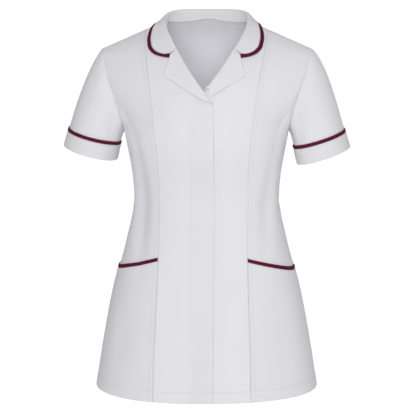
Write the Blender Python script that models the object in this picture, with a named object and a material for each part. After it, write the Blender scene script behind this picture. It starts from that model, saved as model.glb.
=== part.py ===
"""Short-sleeved healthcare tunic, filled out as if worn, modelled as the pieces that are cut and sewn.

The origin is at the high point of the shoulders, in the middle of the neck. The front faces -Y, +X is the
wearer's left, and every piece is a thin wall with a gap of SEAM to its neighbours.
"""

import math
from collections import namedtuple

import bmesh
import bpy
import numpy as np

# Driving sizes, in metres
SEAM = 0.0003              # gap between pieces that are sewn together
BODY_WALL = 0.0012
FOLD_WALL = 0.0016         # collar and lapels, two layers of cloth
BAND_WALL = 0.0011         # pockets, cuffs and their piping
PIPING = 0.0060            # width of the contrast strips on the cuffs and the pockets
COLLAR_PIPING = 0.0070     # width of the one round the collar
HALF_LAP = 0.0204          # how far the right front passes the centre
HALF_UNDERLAP = 0.0200     # how far the left front passes it, underneath
NECK_HALF_WIDTH = 0.0800   # high point of the shoulder, where the neck edge is cut
FOLD_REACH = 0.0037        # how far a rolled edge stands past the edge that it covers
FOLD_HEIGHT = 0.0054       # height of the rolled edge of a lapel over the front
EDGE_HEIGHT = FOLD_WALL + 0.0010
FOLD_FADE = 0.055          # distance over which the roll flattens
FOLD_INSET = 0.0030        # how far past the neck edge the flat part of a lapel or the collar starts
NECK_SHIFT = 0.0040        # the neck edge, lapel and collar of the wearer's right lie this much nearer the centre
SHIFT_KEPT = 0.3           # share of that shift that is left over the heights below, at the neck
SHIFT_HEIGHTS = (-0.040, 0.004)
SHIFT_FADE = (0.066, 0.100)    # distance from the centre over which it goes to nothing
LAP_SINK = 0.0017          # how far the left front is sunk under the right one
LAP_FADE = (0.0030, 0.0220)    # distance past the lap over which it rises again
CUFF_DEPTH = 0.029
HEM_SKEW = 0.0018          # the hem hangs this much lower on the wearer's right and higher on the left
HEM_SKEW_RISE = 0.20       # and is even again this far above the hem

WHITE = (0.80, 0.79, 0.83)
BURGUNDY = (0.10, 0.016, 0.028)

# The torso is one surface. A row crosses it from the centre to its end, which is the side seam, the
# armhole or the shoulder point, and the rows run from the front hem over the shoulder to the back hem.
Row = namedtuple("Row", "name end_x end_y end_z mid_y mid_z closure square drop princess")
ROWS = [
    Row("front hem", 0.2140, 0.000, -0.703, -0.146, -0.708, 1.00, 2.50, 2.0, 0.0920),
    Row("front skirt", 0.1992, 0.000, -0.612, -0.139, -0.615, 1.00, 2.45, 2.0, 0.0900),
    Row("front hip", 0.1788, 0.000, -0.508, -0.129, -0.510, 1.00, 2.40, 2.0, 0.0858),
    Row("front high hip", 0.1548, 0.000, -0.420, -0.1165, -0.420, 1.00, 2.35, 2.0, 0.0834),
    Row("front waist", 0.1392, 0.000, -0.335, -0.104, -0.335, 1.00, 2.30, 2.0, 0.0832),
    Row("front rib", 0.1430, 0.000, -0.285, -0.113, -0.285, 1.00, 2.35, 2.0, 0.0841),
    Row("front bust", 0.1508, 0.000, -0.240, -0.126, -0.235, 1.00, 2.40, 2.0, 0.0872),
    Row("front underarm", 0.1570, 0.000, -0.208, -0.127, -0.190, 1.00, 2.40, 2.0, 0.0915),
    Row("front scye", 0.1612, -0.024, -0.196, -0.124, -0.165, 0.94, 2.30, 1.8, 0.0942),
    Row("front chest", 0.1690, -0.037, -0.162, -0.117, -0.142, 0.85, 2.20, 1.6, 0.0970),
    Row("front high chest", 0.1830, -0.040, -0.118, -0.096, -0.095, 0.75, 2.10, 1.4, 0.1035),
    Row("front yoke", 0.1910, -0.029, -0.083, -0.066, -0.045, 0.65, 2.00, 1.2, 0.1100),
    Row("front top", 0.1960, -0.012, -0.061, -0.034, -0.003, 0.60, 2.00, 1.1, 0.1140),
    Row("shoulder", 0.1990, 0.006, -0.0540, 0.002, 0.032, 0.60, 2.00, 1.0, 0.1160),
    Row("back top", 0.1970, 0.024, -0.060, 0.043, 0.018, 0.60, 2.00, 1.1, 0.1125),
    Row("back yoke", 0.1940, 0.041, -0.080, 0.080, -0.022, 0.65, 2.00, 1.2, 0.1125),
    Row("back upper", 0.1875, 0.052, -0.115, 0.102, -0.074, 0.75, 2.10, 1.4, 0.1125),
    Row("back blade", 0.1790, 0.051, -0.158, 0.113, -0.128, 0.85, 2.20, 1.6, 0.1125),
    Row("back scye", 0.1660, 0.030, -0.195, 0.115, -0.165, 0.94, 2.30, 1.8, 0.1125),
    Row("back underarm", 0.1570, 0.000, -0.208, 0.114, -0.194, 1.00, 2.35, 2.0, 0.1125),
    Row("back bust", 0.1508, 0.000, -0.240, 0.109, -0.238, 1.00, 2.30, 2.0, 0.1125),
    Row("back rib", 0.1430, 0.000, -0.285, 0.099, -0.285, 1.00, 2.25, 2.0, 0.1125),
    Row("back waist", 0.1392, 0.000, -0.335, 0.089, -0.335, 1.00, 2.20, 2.0, 0.1125),
    Row("back high hip", 0.1548, 0.000, -0.420, 0.105, -0.420, 1.00, 2.25, 2.0, 0.1125),
    Row("back hip", 0.1788, 0.000, -0.508, 0.131, -0.510, 1.00, 2.35, 2.0, 0.1125),
    Row("back skirt", 0.1992, 0.000, -0.612, 0.142, -0.614, 1.00, 2.40, 2.0, 0.1125),
    Row("back hem", 0.2140, 0.000, -0.703, 0.148, -0.706, 1.00, 2.45, 2.0, 0.1125),
]
NAMES = [row.name for row in ROWS]
ROW_POINTS = 97
CORNER_REACH = (0.88, 1.0)     # the corner of the underarm shows only in this part of a row

# The roll line, where the lapels and the collar turn back, from below the break to the shoulder
Roll = namedtuple("Roll", "x z")
ROLL_LINE = [
    Roll(-0.0330, -0.1720),
    Roll(-0.0185, -0.1520),
    Roll(0.0000, -0.1285),
    Roll(0.0285, -0.0905),
    Roll(0.0515, -0.0550),
    Roll(0.0640, -0.0350),
    Roll(0.0725, -0.0165),
    Roll(0.0765, 0.0000),
]
BACK_NECK_Y = 0.061        # neck seam at the centre back
SHOULDER_Y = 0.003

# The collar, from the centre back to the gorge. In front of the shoulder its fold follows the roll line. At
# the gorge the seam of its piping has a place of its own, the notch.
Station = namedtuple("Station", "name fold_x fold_y fold_z outer_x outer_z seam_x seam_z", defaults=(None, None))
COLLAR = [
    Station("centre back", 0.0000, 0.0710, 0.0195, 0.0000, -0.0240),
    Station("back", 0.0360, 0.0645, 0.0195, 0.0460, -0.0245),
    Station("back side", 0.0625, 0.0470, 0.0180, 0.0810, -0.0225),
    Station("behind shoulder", 0.0740, 0.0240, 0.0135, 0.0985, -0.0165),
    Station("shoulder", 0.0772, 0.0040, 0.0045, 0.1010, -0.0118),
    Station("front of shoulder", 0.0748, None, -0.0110, 0.1058, -0.0190),
    Station("front", 0.0690, None, -0.0245, 0.1086, -0.0300),
    Station("corner top", 0.0637, None, -0.0355, 0.1082, -0.0425),
    Station("corner", 0.0587, None, -0.0437, 0.1035, -0.0548),
    Station("corner end", 0.0553, None, -0.0490, 0.0935, -0.0630),
    Station("front edge", 0.0530, None, -0.0527, 0.0798, -0.0674),
    Station("gorge", 0.0515, None, -0.0550, 0.0680, -0.0686, 0.0658, -0.0612),
]

# Lapel corners on the front, measured from the centre towards the lapel's own side
Corner = namedtuple("Corner", "x z")
LAPEL_NOTCH = Corner(0.0646, -0.0630)
LAPEL_TIP = Corner(0.0762, -0.1003)
LAPEL_GORGE = Corner(0.0513, -0.0570)

# Each lapel: where it starts on the roll line, and the elbow and its pull on the lower edge
Lapel = namedtuple("Lapel", "tag side start_z elbow pull")
LAPELS = [
    Lapel("right", -1, -0.1490, Corner(0.0080, -0.1425), 1.0),
    Lapel("left", 1, -0.1228, Corner(0.0136, -0.1372), 9.0),
]

# Pocket mouth on the side front, from the princess seam to the side seam
POCKET_MOUTH = [Corner(0.0834, -0.4390), Corner(0.1130, -0.4480), Corner(0.1450, -0.4585), Corner(0.1670, -0.4670)]

# The sleeves hang a little differently: tilt out from the vertical in degrees, the centre of the cuff, and
# how far the head stands out over the shoulder
Sleeve = namedtuple("Sleeve", "tag side tilt cuff_x cuff_z puff")
SLEEVES = [
    Sleeve("right", -1, 15.6, 0.2255, -0.2532, 0.27),
    Sleeve("left", 1, 18.4, 0.2237, -0.2562, 0.40),
]
SLEEVE_OUT = (0.32, -0.45, -0.95)      # way off the armhole: out at the underarm, to the front and down
SLEEVE_DROP = 0.24         # how much less steeply it falls at the top
SLEEVE_FULL = 0.70         # how far that way is kept, as a share of the sleeve's length
HEAD_GAP = 0.0008          # from the armhole's edge to the head of the sleeve
HEAD_RISE = 0.0004
EDGE_SHARE = 0.995         # share of a row at which the armhole's normal is taken
ARM_SIDE = np.array([0.05, 0, 0])      # from the middle of the armhole towards the arm
SLEEVE_LEAN = math.radians(2)
CUFF_Y = 0.010
CUFF_HALF_WIDTH = 0.0520
CUFF_HALF_DEPTH = 0.0620

# Facets
RINGS_ROUND = 28
SLEEVE_RINGS = 8
LENGTH_STEPS = 20          # for measuring a sleeve's length
SMOOTH_ANGLE = math.radians(50)


def hermite(knots, values, at, breaks=()):
    """Smooth curve through values at knots. At the knots in breaks its direction may change sharply."""
    knots, values = np.asarray(knots, float), np.asarray(values, float)
    i = int(np.clip(np.searchsorted(knots, at, side="right") - 1, 0, len(knots) - 2))
    step = np.diff(knots)
    slope = np.diff(values, axis=0) / (step if values.ndim == 1 else step[:, None])

    def tangent(k, own):
        if k == 0 or k == len(knots) - 1 or k in breaks:
            return slope[own]
        return (slope[k - 1] * step[k] + slope[k] * step[k - 1]) / (step[k - 1] + step[k])

    h = step[i]
    s = (at - knots[i]) / h
    return ((2 * s**3 - 3 * s**2 + 1) * values[i] + (s**3 - 2 * s**2 + s) * h * tangent(i, i)
            + (3 * s**2 - 2 * s**3) * values[i + 1] + (s**3 - s**2) * h * tangent(i + 1, i))


def chords(points):
    """Distances along a list of points, from 0."""
    points = np.asarray(points, float)
    return np.concatenate([[0.0], np.cumsum(np.linalg.norm(np.diff(points, axis=0), axis=1))])


def smooth_step(low, high, value):
    s = min(max((value - low) / (high - low), 0.0), 1.0)
    return s * s * (3 - 2 * s)


# Torso surface

HALVINGS = 26              # steps of each search for a level
NORMAL_STEP = (0.012, 0.002)   # share of the row and level to each side of a point where its normal is taken
LEVELS = chords([[row.end_x, row.end_y, row.end_z] for row in ROWS])
CORNER_ROWS = (NAMES.index("front underarm"), NAMES.index("back underarm"))
SHOULDER = LEVELS[NAMES.index("shoulder")]
FRONT_UNDERARM, BACK_UNDERARM = (LEVELS[i] for i in CORNER_ROWS)
FRONT_HEM, BACK_HEM = LEVELS[0], LEVELS[-1]
WAIST = LEVELS[NAMES.index("front waist")]
ENDS = np.array([[row.end_x, row.end_y, row.end_z] for row in ROWS])
# How deep each row still is at its end, as a share of its whole depth: 0 where it turns back to a side seam
END_DEPTHS = [(1 - row.closure**row.square) ** (1 / row.square) for row in ROWS]
INNER = np.array([[row.mid_y, row.mid_z, end, row.square, row.drop, row.princess]
                  for row, end in zip(ROWS, END_DEPTHS)])
ROW_CACHE = {}


def row_line(level):
    """Points of one row from the centre to its end, and the share of its length at each."""
    key = round(level, 7)
    if key not in ROW_CACHE:
        mid_y, mid_z, end_depth, square, drop, _ = hermite(LEVELS, INNER, level)
        across = np.sin(np.linspace(0, math.pi / 2, ROW_POINTS))
        sharp = np.array([smooth_step(*CORNER_REACH, a) for a in across])[:, None]
        end = hermite(LEVELS, ENDS, level) * (1 - sharp) + hermite(LEVELS, ENDS, level, CORNER_ROWS) * sharp
        closure = (1 - max(end_depth, 0.0) ** square) ** (1 / square)
        depth = (1 - np.minimum(closure * across, 1.0) ** square) ** (1 / square)
        bulge = (depth - depth[-1]) / (1 - depth[-1])
        points = np.stack([
            end[:, 0] * across,
            end[:, 1] + (mid_y - end[:, 1]) * bulge,
            mid_z + (end[:, 2] - mid_z) * across**drop,
        ], axis=1)
        length = chords(points)
        ROW_CACHE[key] = (points, length / length[-1], length[-1])
    return ROW_CACHE[key]


def torso(share, level):
    """Point at a share of a row from the centre, negative on the wearer's right."""
    points, shares, _ = row_line(level)
    point = np.array([np.interp(abs(share), shares, points[:, k]) for k in range(3)])
    if share < 0:
        point[0] = -point[0]
    point[2] += HEM_SKEW * math.sin(math.pi * share) * (1 - smooth_step(0, HEM_SKEW_RISE, level))
    return point


def torso_normal(share, level):
    """Outward normal of the torso there."""
    step_s, step_l = NORMAL_STEP
    low_s, high_s = max(share - step_s, -1.0), min(share + step_s, 1.0)
    low_l, high_l = max(level - step_l, FRONT_HEM), min(level + step_l, BACK_HEM)
    across = torso(high_s, level) - torso(low_s, level)
    along = torso(share, high_l) - torso(share, low_l)
    normal = np.cross(across, along)
    return normal / np.linalg.norm(normal)


def share_at(x, level):
    """Share of the row at a signed x."""
    points, shares, _ = row_line(level)
    return math.copysign(np.interp(abs(x), points[:, 0], shares), x)


def level_at(x, z, low, high):
    """Level between low and high at which the torso has height z at x. Height rises from low to high."""
    for _ in range(HALVINGS):
        level = (low + high) / 2
        if torso(share_at(x, level), level)[2] < z:
            low = level
        else:
            high = level
    return (low + high) / 2


BREAK_DROP = 0.004         # height from the roll line's second point down to the break of the lapels
BREAK = level_at(-HALF_LAP, ROLL_LINE[1].z - BREAK_DROP, FRONT_HEM, SHOULDER)


def princess_x(level):
    return hermite(LEVELS, INNER, level)[5]


def roll_x(z):
    return hermite([p.z for p in ROLL_LINE], [p.x for p in ROLL_LINE], z)


def drawn_over(side, x, z):
    """x of a place on the neck edge, a lapel or the collar, which lie nearer the centre on the wearer's
    right."""
    if side > 0:
        return x
    kept = 1 - (1 - SHIFT_KEPT) * smooth_step(*SHIFT_HEIGHTS, z)
    return x - NECK_SHIFT * kept * (1 - smooth_step(*SHIFT_FADE, x))


# Meshes


def material(name, colour, roughness):
    found = bpy.data.materials.new(name)
    found.use_nodes = True
    shader = found.node_tree.nodes["Principled BSDF"]
    shader.inputs["Base Color"].default_value = (*colour, 1)
    shader.inputs["Roughness"].default_value = roughness
    return found


def grid_normals(points, ring=False):
    """Normals of a grid of points, rows by columns. With ring the columns close on themselves."""
    rows = np.gradient(points, axis=0)
    if ring:
        columns = np.roll(points, -1, axis=1) - np.roll(points, 1, axis=1)
    else:
        columns = np.gradient(points, axis=1)
    normals = np.cross(columns, rows)
    return normals / np.linalg.norm(normals, axis=2, keepdims=True)


def wall(name, outer, normals, thickness, surface, ring=False):
    """Closed wall between a grid of outer points and the same points moved in against their normals."""
    outer = np.asarray(outer, float)
    inner = outer - np.asarray(normals, float) * thickness
    rows, columns = outer.shape[:2]
    bm = bmesh.new()
    top = [[bm.verts.new(p) for p in line] for line in outer]
    under = [[bm.verts.new(p) for p in line] for line in inner]
    span = columns if ring else columns - 1
    for i in range(rows - 1):
        for j in range(span):
            k = (j + 1) % columns
            bm.faces.new((top[i][j], top[i][k], top[i + 1][k], top[i + 1][j]))
            bm.faces.new((under[i][j], under[i + 1][j], under[i + 1][k], under[i][k]))
    for j in range(span):
        k = (j + 1) % columns
        bm.faces.new((top[0][j], under[0][j], under[0][k], top[0][k]))
        bm.faces.new((top[-1][j], top[-1][k], under[-1][k], under[-1][j]))
    if not ring:
        for i in range(rows - 1):
            bm.faces.new((top[i][0], top[i + 1][0], under[i + 1][0], under[i][0]))
            bm.faces.new((top[i][-1], under[i][-1], under[i + 1][-1], top[i + 1][-1]))
    bmesh.ops.triangulate(bm, faces=bm.faces[:])
    if bm.calc_volume(signed=True) < 0:
        bmesh.ops.reverse_faces(bm, faces=bm.faces[:])
    mesh = bpy.data.meshes.new(name)
    bm.to_mesh(mesh)
    bm.free()
    mesh.shade_smooth()
    mesh.set_sharp_from_angle(angle=SMOOTH_ANGLE)
    mesh.materials.append(surface)
    piece = bpy.data.objects.new(name, mesh)
    COLLECTION.objects.link(piece)
    return piece


def mirrored(points, side):
    return np.asarray(points) * np.array([side, 1.0, 1.0])


def level_list(marks, counts):
    """Levels with an even number of steps between neighbouring marks."""
    parts = [np.linspace(a, b, n, endpoint=False) for a, b, n in zip(marks, marks[1:], counts)]
    return np.concatenate([*parts, [marks[-1]]])


# Fronts. side is -1 on the wearer's right and +1 on the left, and x counts towards that side.


def front_sink(side, x):
    """How far the left front is sunk where the right front lies on it."""
    if side < 0:
        return 0.0
    return LAP_SINK * (1 - smooth_step(HALF_LAP + LAP_FADE[0], HALF_LAP + LAP_FADE[1], x))


def front_point(side, x, level, height=0.0):
    """Point of a front at x, moved out by height, with its normal."""
    share = share_at(x, level) * side
    normal = torso_normal(share, level)
    return torso(share, level) + normal * (height - front_sink(side, x)), normal


def on_front(side, x, z, height=0.0):
    return front_point(side, x, level_at(x, z, FRONT_HEM, SHOULDER), height)


def front_edge_x(side, level):
    """Inner edge of a front: its straight edge, then the neck edge under the roll line."""
    lap = HALF_LAP if side < 0 else HALF_UNDERLAP
    mid_z = hermite(LEVELS, INNER, level)[1]
    if mid_z < ROLL_LINE[0].z:
        return -lap
    x = 0.0
    for _ in range(EDGE_STEPS):
        z = torso(share_at(x, level), level)[2]
        x = drawn_over(side, roll_x(min(z, ROLL_LINE[-1].z)) + FOLD_REACH, z)
    return max(x, -lap)


CENTRE_COLUMNS = 5
EDGE_STEPS = 12


def centre_front(name, side, surface):
    outer, normals = [], []
    for level in front_levels(0):
        start = front_edge_x(side, level)
        end = princess_x(level) - SEAM / 2
        places = [start + (end - start) * k / CENTRE_COLUMNS for k in range(CENTRE_COLUMNS + 1)]
        line = [front_point(side, x, level) for x in places]
        outer.append([p for p, _ in line])
        normals.append([n for _, n in line])
    return wall(name, outer, normals, BODY_WALL, surface)


def side_share(across, level):
    """Share of a row at a share of the way across the side front."""
    start = share_at(princess_x(level) + SEAM / 2, level)
    end = 1 - SEAM / 2 / row_line(level)[2]
    return start + (end - start) * across


def pocket_levels(across):
    """Levels of the pocket's top seam and its mouth at a share of the way across the side front."""
    found = []
    for below in (PIPING, 0.0):
        low, high = FRONT_HEM, WAIST
        for _ in range(HALVINGS):
            level = (low + high) / 2
            x, _, z = torso(side_share(across, level), level)
            if z + below < hermite([p.x for p in POCKET_MOUTH], [p.z for p in POCKET_MOUTH], x):
                low = level
            else:
                high = level
        found.append((low + high) / 2)
    return found


SIDE_COLUMNS = 7
# Rows from the hem to the pocket's top seam, from its mouth to the waist, and on up to the shoulder
POCKET_ROWS = 6
WAIST_ROWS = 2
BUST_ROWS = 4
CHEST_ROWS = 2
YOKE_ROWS = 9


def front_levels(across):
    """Levels of the rows of the fronts at a share of the way across the side front, 0 at the princess seam.
    The first rows run up to the pocket's top seam and mouth, and one row is at the break of the lapels."""
    marks = [FRONT_HEM, *pocket_levels(across), WAIST, FRONT_UNDERARM, BREAK, SHOULDER - SEAM / 2]
    return level_list(marks, [POCKET_ROWS, 1, WAIST_ROWS, BUST_ROWS, CHEST_ROWS, YOKE_ROWS])


def side_front_grid(side):
    """Points and normals of a side front."""
    points, normals = [], []
    for j in range(SIDE_COLUMNS + 1):
        across = j / SIDE_COLUMNS
        column = []
        for level in front_levels(across):
            share = side_share(across, level) * side
            column.append((torso(share, level), torso_normal(share, level)))
        points.append([p for p, _ in column])
        normals.append([n for _, n in column])
    return np.swapaxes(points, 0, 1), np.swapaxes(normals, 0, 1)


def side_front_with_pocket(tag, side, cloth, contrast):
    points, normals = side_front_grid(side)
    wall(f"front_{tag}_side", points, normals, BODY_WALL, cloth)
    lifted = points + normals * (BAND_WALL + SEAM)
    bag = lifted[:POCKET_ROWS + 1].copy()
    bag[-1] -= (lifted[POCKET_ROWS + 1] - lifted[POCKET_ROWS]) * SEAM / PIPING
    wall(f"pocket_{tag}", bag, normals[:POCKET_ROWS + 1], BAND_WALL, cloth)
    band = slice(POCKET_ROWS, POCKET_ROWS + 2)
    wall(f"pocket_trim_{tag}", lifted[band], normals[band], BAND_WALL, contrast)


# Back

NECK_COLUMNS = 8
SHOULDER_COLUMNS = 6
BACK_YOKE_ROWS = 8
BACK_LOW_ROWS = 11


def neck_level(x):
    """Level of the back neck seam at x."""
    reach = math.sqrt(max(1 - (x / NECK_HALF_WIDTH) ** 2, 0.0))
    y = SHOULDER_Y + (BACK_NECK_Y - SHOULDER_Y) * reach
    low, high = SHOULDER, LEVELS[NAMES.index("back upper")]
    for _ in range(HALVINGS):
        level = (low + high) / 2
        if torso(share_at(x, level), level)[1] < y:
            low = level
        else:
            high = level
    return max((low + high) / 2, SHOULDER + SEAM / 2)


def back(surface):
    neck_x = [NECK_HALF_WIDTH * math.sin(math.pi / 2 * k / NECK_COLUMNS) for k in range(NECK_COLUMNS + 1)]
    tops = [(share_at(x, neck_level(x)), neck_level(x)) for x in neck_x]
    first = tops[-1][0]
    for k in range(1, SHOULDER_COLUMNS + 1):
        tops.append((first + (1 - first) * k / SHOULDER_COLUMNS, SHOULDER + SEAM / 2))
    columns = [(-share, top) for share, top in reversed(tops[1:])] + tops
    outer, normals = [], []
    for share, top in columns:
        line = []
        for level in level_list([top, BACK_UNDERARM, BACK_HEM], [BACK_YOKE_ROWS, BACK_LOW_ROWS]):
            limit = 1 - SEAM / 2 / row_line(level)[2]
            place = max(min(share, limit), -limit)
            line.append((torso(place, level), torso_normal(place, level)))
        outer.append([p for p, _ in line])
        normals.append([n for _, n in line])
    return wall("back", outer, normals, BODY_WALL, surface)


# Lapels and collar


def roll_height(distance):
    """Height of a lapel or of the collar's fall over the front, at a distance from its roll line."""
    return EDGE_HEIGHT + (FOLD_HEIGHT - EDGE_HEIGHT) * (1 - smooth_step(0, FOLD_FADE, distance))


# Across a rolled edge: how far each point is from the neck edge, and how high it is
RollPoint = namedtuple("RollPoint", "reach height")
ROLLED_EDGE = [
    RollPoint(-0.0032, -0.0013),
    RollPoint(-0.0037, 0.0012),
    RollPoint(-0.0024, 0.0040),
    RollPoint(0.0018, 0.0053),
]
ROLL_DROP = 0.4            # a point across a rolled edge lies this share of its reach higher on the front
LAPEL_COLUMNS = 6
LAPEL_ROWS = 10


def rolled_edge(side, x, z):
    """Points over the rolled edge beside a neck edge at x and z."""
    drawn = drawn_over(side, x, z)
    return [on_front(side, drawn + p.reach, z + p.reach * ROLL_DROP, p.height)[0] for p in ROLLED_EDGE]


def lapel(cut, surface):
    """Lapel between the roll line, the gorge seam, its outer edge and its lower edge."""
    start = np.array([roll_x(cut.start_z) + FOLD_REACH + FOLD_INSET, cut.start_z])
    elbow, tip, notch, gorge = (np.array(p) for p in (cut.elbow, LAPEL_TIP, LAPEL_NOTCH, LAPEL_GORGE))
    outer = []
    for i in range(LAPEL_ROWS + 1):
        w = i / LAPEL_ROWS
        z = cut.start_z + (LAPEL_GORGE.z - cut.start_z) * w
        edge = np.array([roll_x(z) + FOLD_REACH, z])
        line = rolled_edge(cut.side, *edge)
        rim = tip + (notch - tip) * w
        for k in range(1, LAPEL_COLUMNS + 1):
            s = k / LAPEL_COLUMNS
            pull = 2 * s * (1 - s) * cut.pull
            low = ((1 - s) ** 2 * start + pull * elbow + s**2 * tip) / ((1 - s) ** 2 + pull + s**2)
            high = gorge + (notch - gorge) * s
            corners = (1 - w) * ((1 - s) * start + s * tip) + w * ((1 - s) * gorge + s * notch)
            x, z_here = (1 - s) * (edge + [FOLD_INSET, 0]) + s * rim + (1 - w) * low + w * high - corners
            distance = math.hypot(x - edge[0], z_here - z)
            line.append(on_front(cut.side, drawn_over(cut.side, x, z_here), z_here, roll_height(distance))[0])
        outer.append(line)
    normals = grid_normals(np.array(outer))
    if normals[LAPEL_ROWS // 2][-2][1] > 0:
        normals = -normals
    return wall(f"lapel_{cut.tag}", outer, normals, FOLD_WALL, surface)


# The collar's fall in front of the shoulder: share of the way from the fold to the outer edge, and height
FALL = ((0.30, 0.0054), (0.70, 0.0050), (1.0, EDGE_HEIGHT))
FALL_BOW = 0.0020          # how far it bows out behind the shoulder
FOLD_TURN = 0.0045         # thickness of the fold behind the shoulder
FOLD_FALL = 0.0012         # and how much lower its outside is
STAND_GAP = 0.0034         # from the neck seam in to the foot of the stand


def front_section(side, station):
    """Points of the collar's visible side at a station in front of the shoulder."""
    edge = np.array([roll_x(station.fold_z) + FOLD_REACH, station.fold_z])
    start = edge + [FOLD_INSET, 0]
    outer = np.array([station.outer_x, station.outer_z])
    places = [start + (outer - start) * share for share, _ in FALL]
    if station.seam_x is not None:
        seam = np.array([station.seam_x, station.seam_z])
        places = [start + (seam - start) * 0.5, seam, outer]
    line = rolled_edge(side, *edge)
    for (x, z), (_, height) in zip(places, FALL):
        line.append(on_front(side, drawn_over(side, x, z), z, height)[0])
    return line


def back_section(side, station):
    """Points of the collar's visible side at a station behind the shoulder: stand, fold and fall."""
    fold_x = drawn_over(side, station.fold_x, station.fold_z)
    level = neck_level(fold_x)
    edge = torso(share_at(fold_x, level), level)
    fold = np.array([fold_x, station.fold_y, station.fold_z])
    out = np.array([fold_x, station.fold_y - SHOULDER_Y, 0.0])
    out /= np.linalg.norm(out)
    start = edge - out * STAND_GAP - [0, 0, FOLD_FALL]
    outer_level = back_level_at(station.outer_x, station.outer_z)
    share = share_at(station.outer_x, outer_level)
    outer = torso(share, outer_level) + torso_normal(share, outer_level) * EDGE_HEIGHT
    shoulder_of_fold = fold + out * FOLD_TURN - [0, 0, FOLD_FALL]
    line = [start, (start + fold) / 2, fold, shoulder_of_fold]
    for share, _ in FALL:
        bow = out * FALL_BOW * 4 * share * (1 - share)
        line.append(shoulder_of_fold + (outer - shoulder_of_fold) * share + bow)
    return [point * [side, 1, 1] for point in line]


def back_level_at(x, z):
    """Level on the back at which the torso has height z at x."""
    low, high = SHOULDER, BACK_UNDERARM
    for _ in range(HALVINGS):
        level = (low + high) / 2
        if torso(share_at(x, level), level)[2] > z:
            low = level
        else:
            high = level
    return (low + high) / 2


COLLAR_COLUMNS = 24
FALL_COLUMNS = 9


def collar(cloth, contrast):
    """Collar in one piece from gorge to gorge, and the piping along its outer edge."""
    right, left = ([front_section(side, s) if s.fold_y is None else back_section(side, s) for s in COLLAR]
                   for side in (-1, 1))
    whole = np.array(right[:0:-1] + left)
    knots = chords(whole[:, 2])
    shares = [k / COLLAR_COLUMNS for k in range(-COLLAR_COLUMNS, COLLAR_COLUMNS + 1)]
    body, piping = [], []
    for share in shares:
        at = knots[-1] * (0.5 + 0.5 * share)
        section = np.array([hermite(knots, whole[:, k], at) for k in range(whole.shape[1])])
        along = chords(section)
        cut = along[-1] - COLLAR_PIPING
        steps = [cut * k / FALL_COLUMNS for k in range(FALL_COLUMNS)] + [cut - 2 * SEAM]
        body.append([hermite(along, section, step) for step in steps])
        piping.append([hermite(along, section, step) for step in (cut, along[-1])])
    body, piping = np.array(body), np.array(piping)
    both = np.concatenate([body, piping], axis=1)
    normals = grid_normals(both)
    if normals[COLLAR_COLUMNS][-1][1] < 0:
        normals = -normals
    wall("collar", body, normals[:, :body.shape[1]], FOLD_WALL, cloth)
    wall("collar_trim", piping, normals[:, body.shape[1]:], FOLD_WALL, contrast)


# Sleeves


def armhole(turn):
    """Point of the armhole and the direction off the body there. turn runs 0 to 1: underarm, front,
    shoulder, back."""
    if turn <= 0.5:
        level = FRONT_UNDERARM + (SHOULDER - FRONT_UNDERARM) * turn * 2
    else:
        level = SHOULDER + (BACK_UNDERARM - SHOULDER) * (turn * 2 - 1)
    centre = (torso(1, SHOULDER) + torso(1, FRONT_UNDERARM)) / 2
    point = torso(1, level)
    normal = torso_normal(EDGE_SHARE, level)
    step = NORMAL_STEP[1]
    along = torso(1, min(level + step, BACK_UNDERARM)) - torso(1, max(level - step, FRONT_UNDERARM))
    off = np.cross(normal, along / np.linalg.norm(along))
    if off @ (centre + ARM_SIDE - point) < 0:
        off = -off
    return point + off * HEAD_GAP + normal * HEAD_RISE


def sleeve_point(turn, down, cut):
    """Point of the sleeve at a turn about its axis and a share of its length from armhole to cuff."""
    angle = 2 * math.pi * turn
    tilt = math.radians(cut.tilt)
    axis = np.array([math.sin(tilt), math.sin(SLEEVE_LEAN), -math.cos(tilt)])
    axis /= np.linalg.norm(axis)
    across = np.array([math.cos(tilt), 0, math.sin(tilt)])
    forward = np.cross(across, axis)
    forward *= -math.copysign(1, forward[1])
    start = armhole(turn)
    end = (np.array([cut.cuff_x, CUFF_Y, cut.cuff_z]) - across * CUFF_HALF_WIDTH * math.cos(angle)
           + forward * CUFF_HALF_DEPTH * math.sin(angle))
    length = np.linalg.norm(end - start)
    top = (1 - math.cos(angle)) / 2
    out, to_front, fall = SLEEVE_OUT
    outward = np.array([out + cut.puff * top, to_front * math.sin(angle), fall + SLEEVE_DROP * top])
    outward /= np.linalg.norm(outward)
    s = down
    return ((2 * s**3 - 3 * s**2 + 1) * start + (s**3 - 2 * s**2 + s) * length * SLEEVE_FULL * outward
            + (3 * s**2 - 2 * s**3) * end + (s**3 - s**2) * length * axis)


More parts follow.
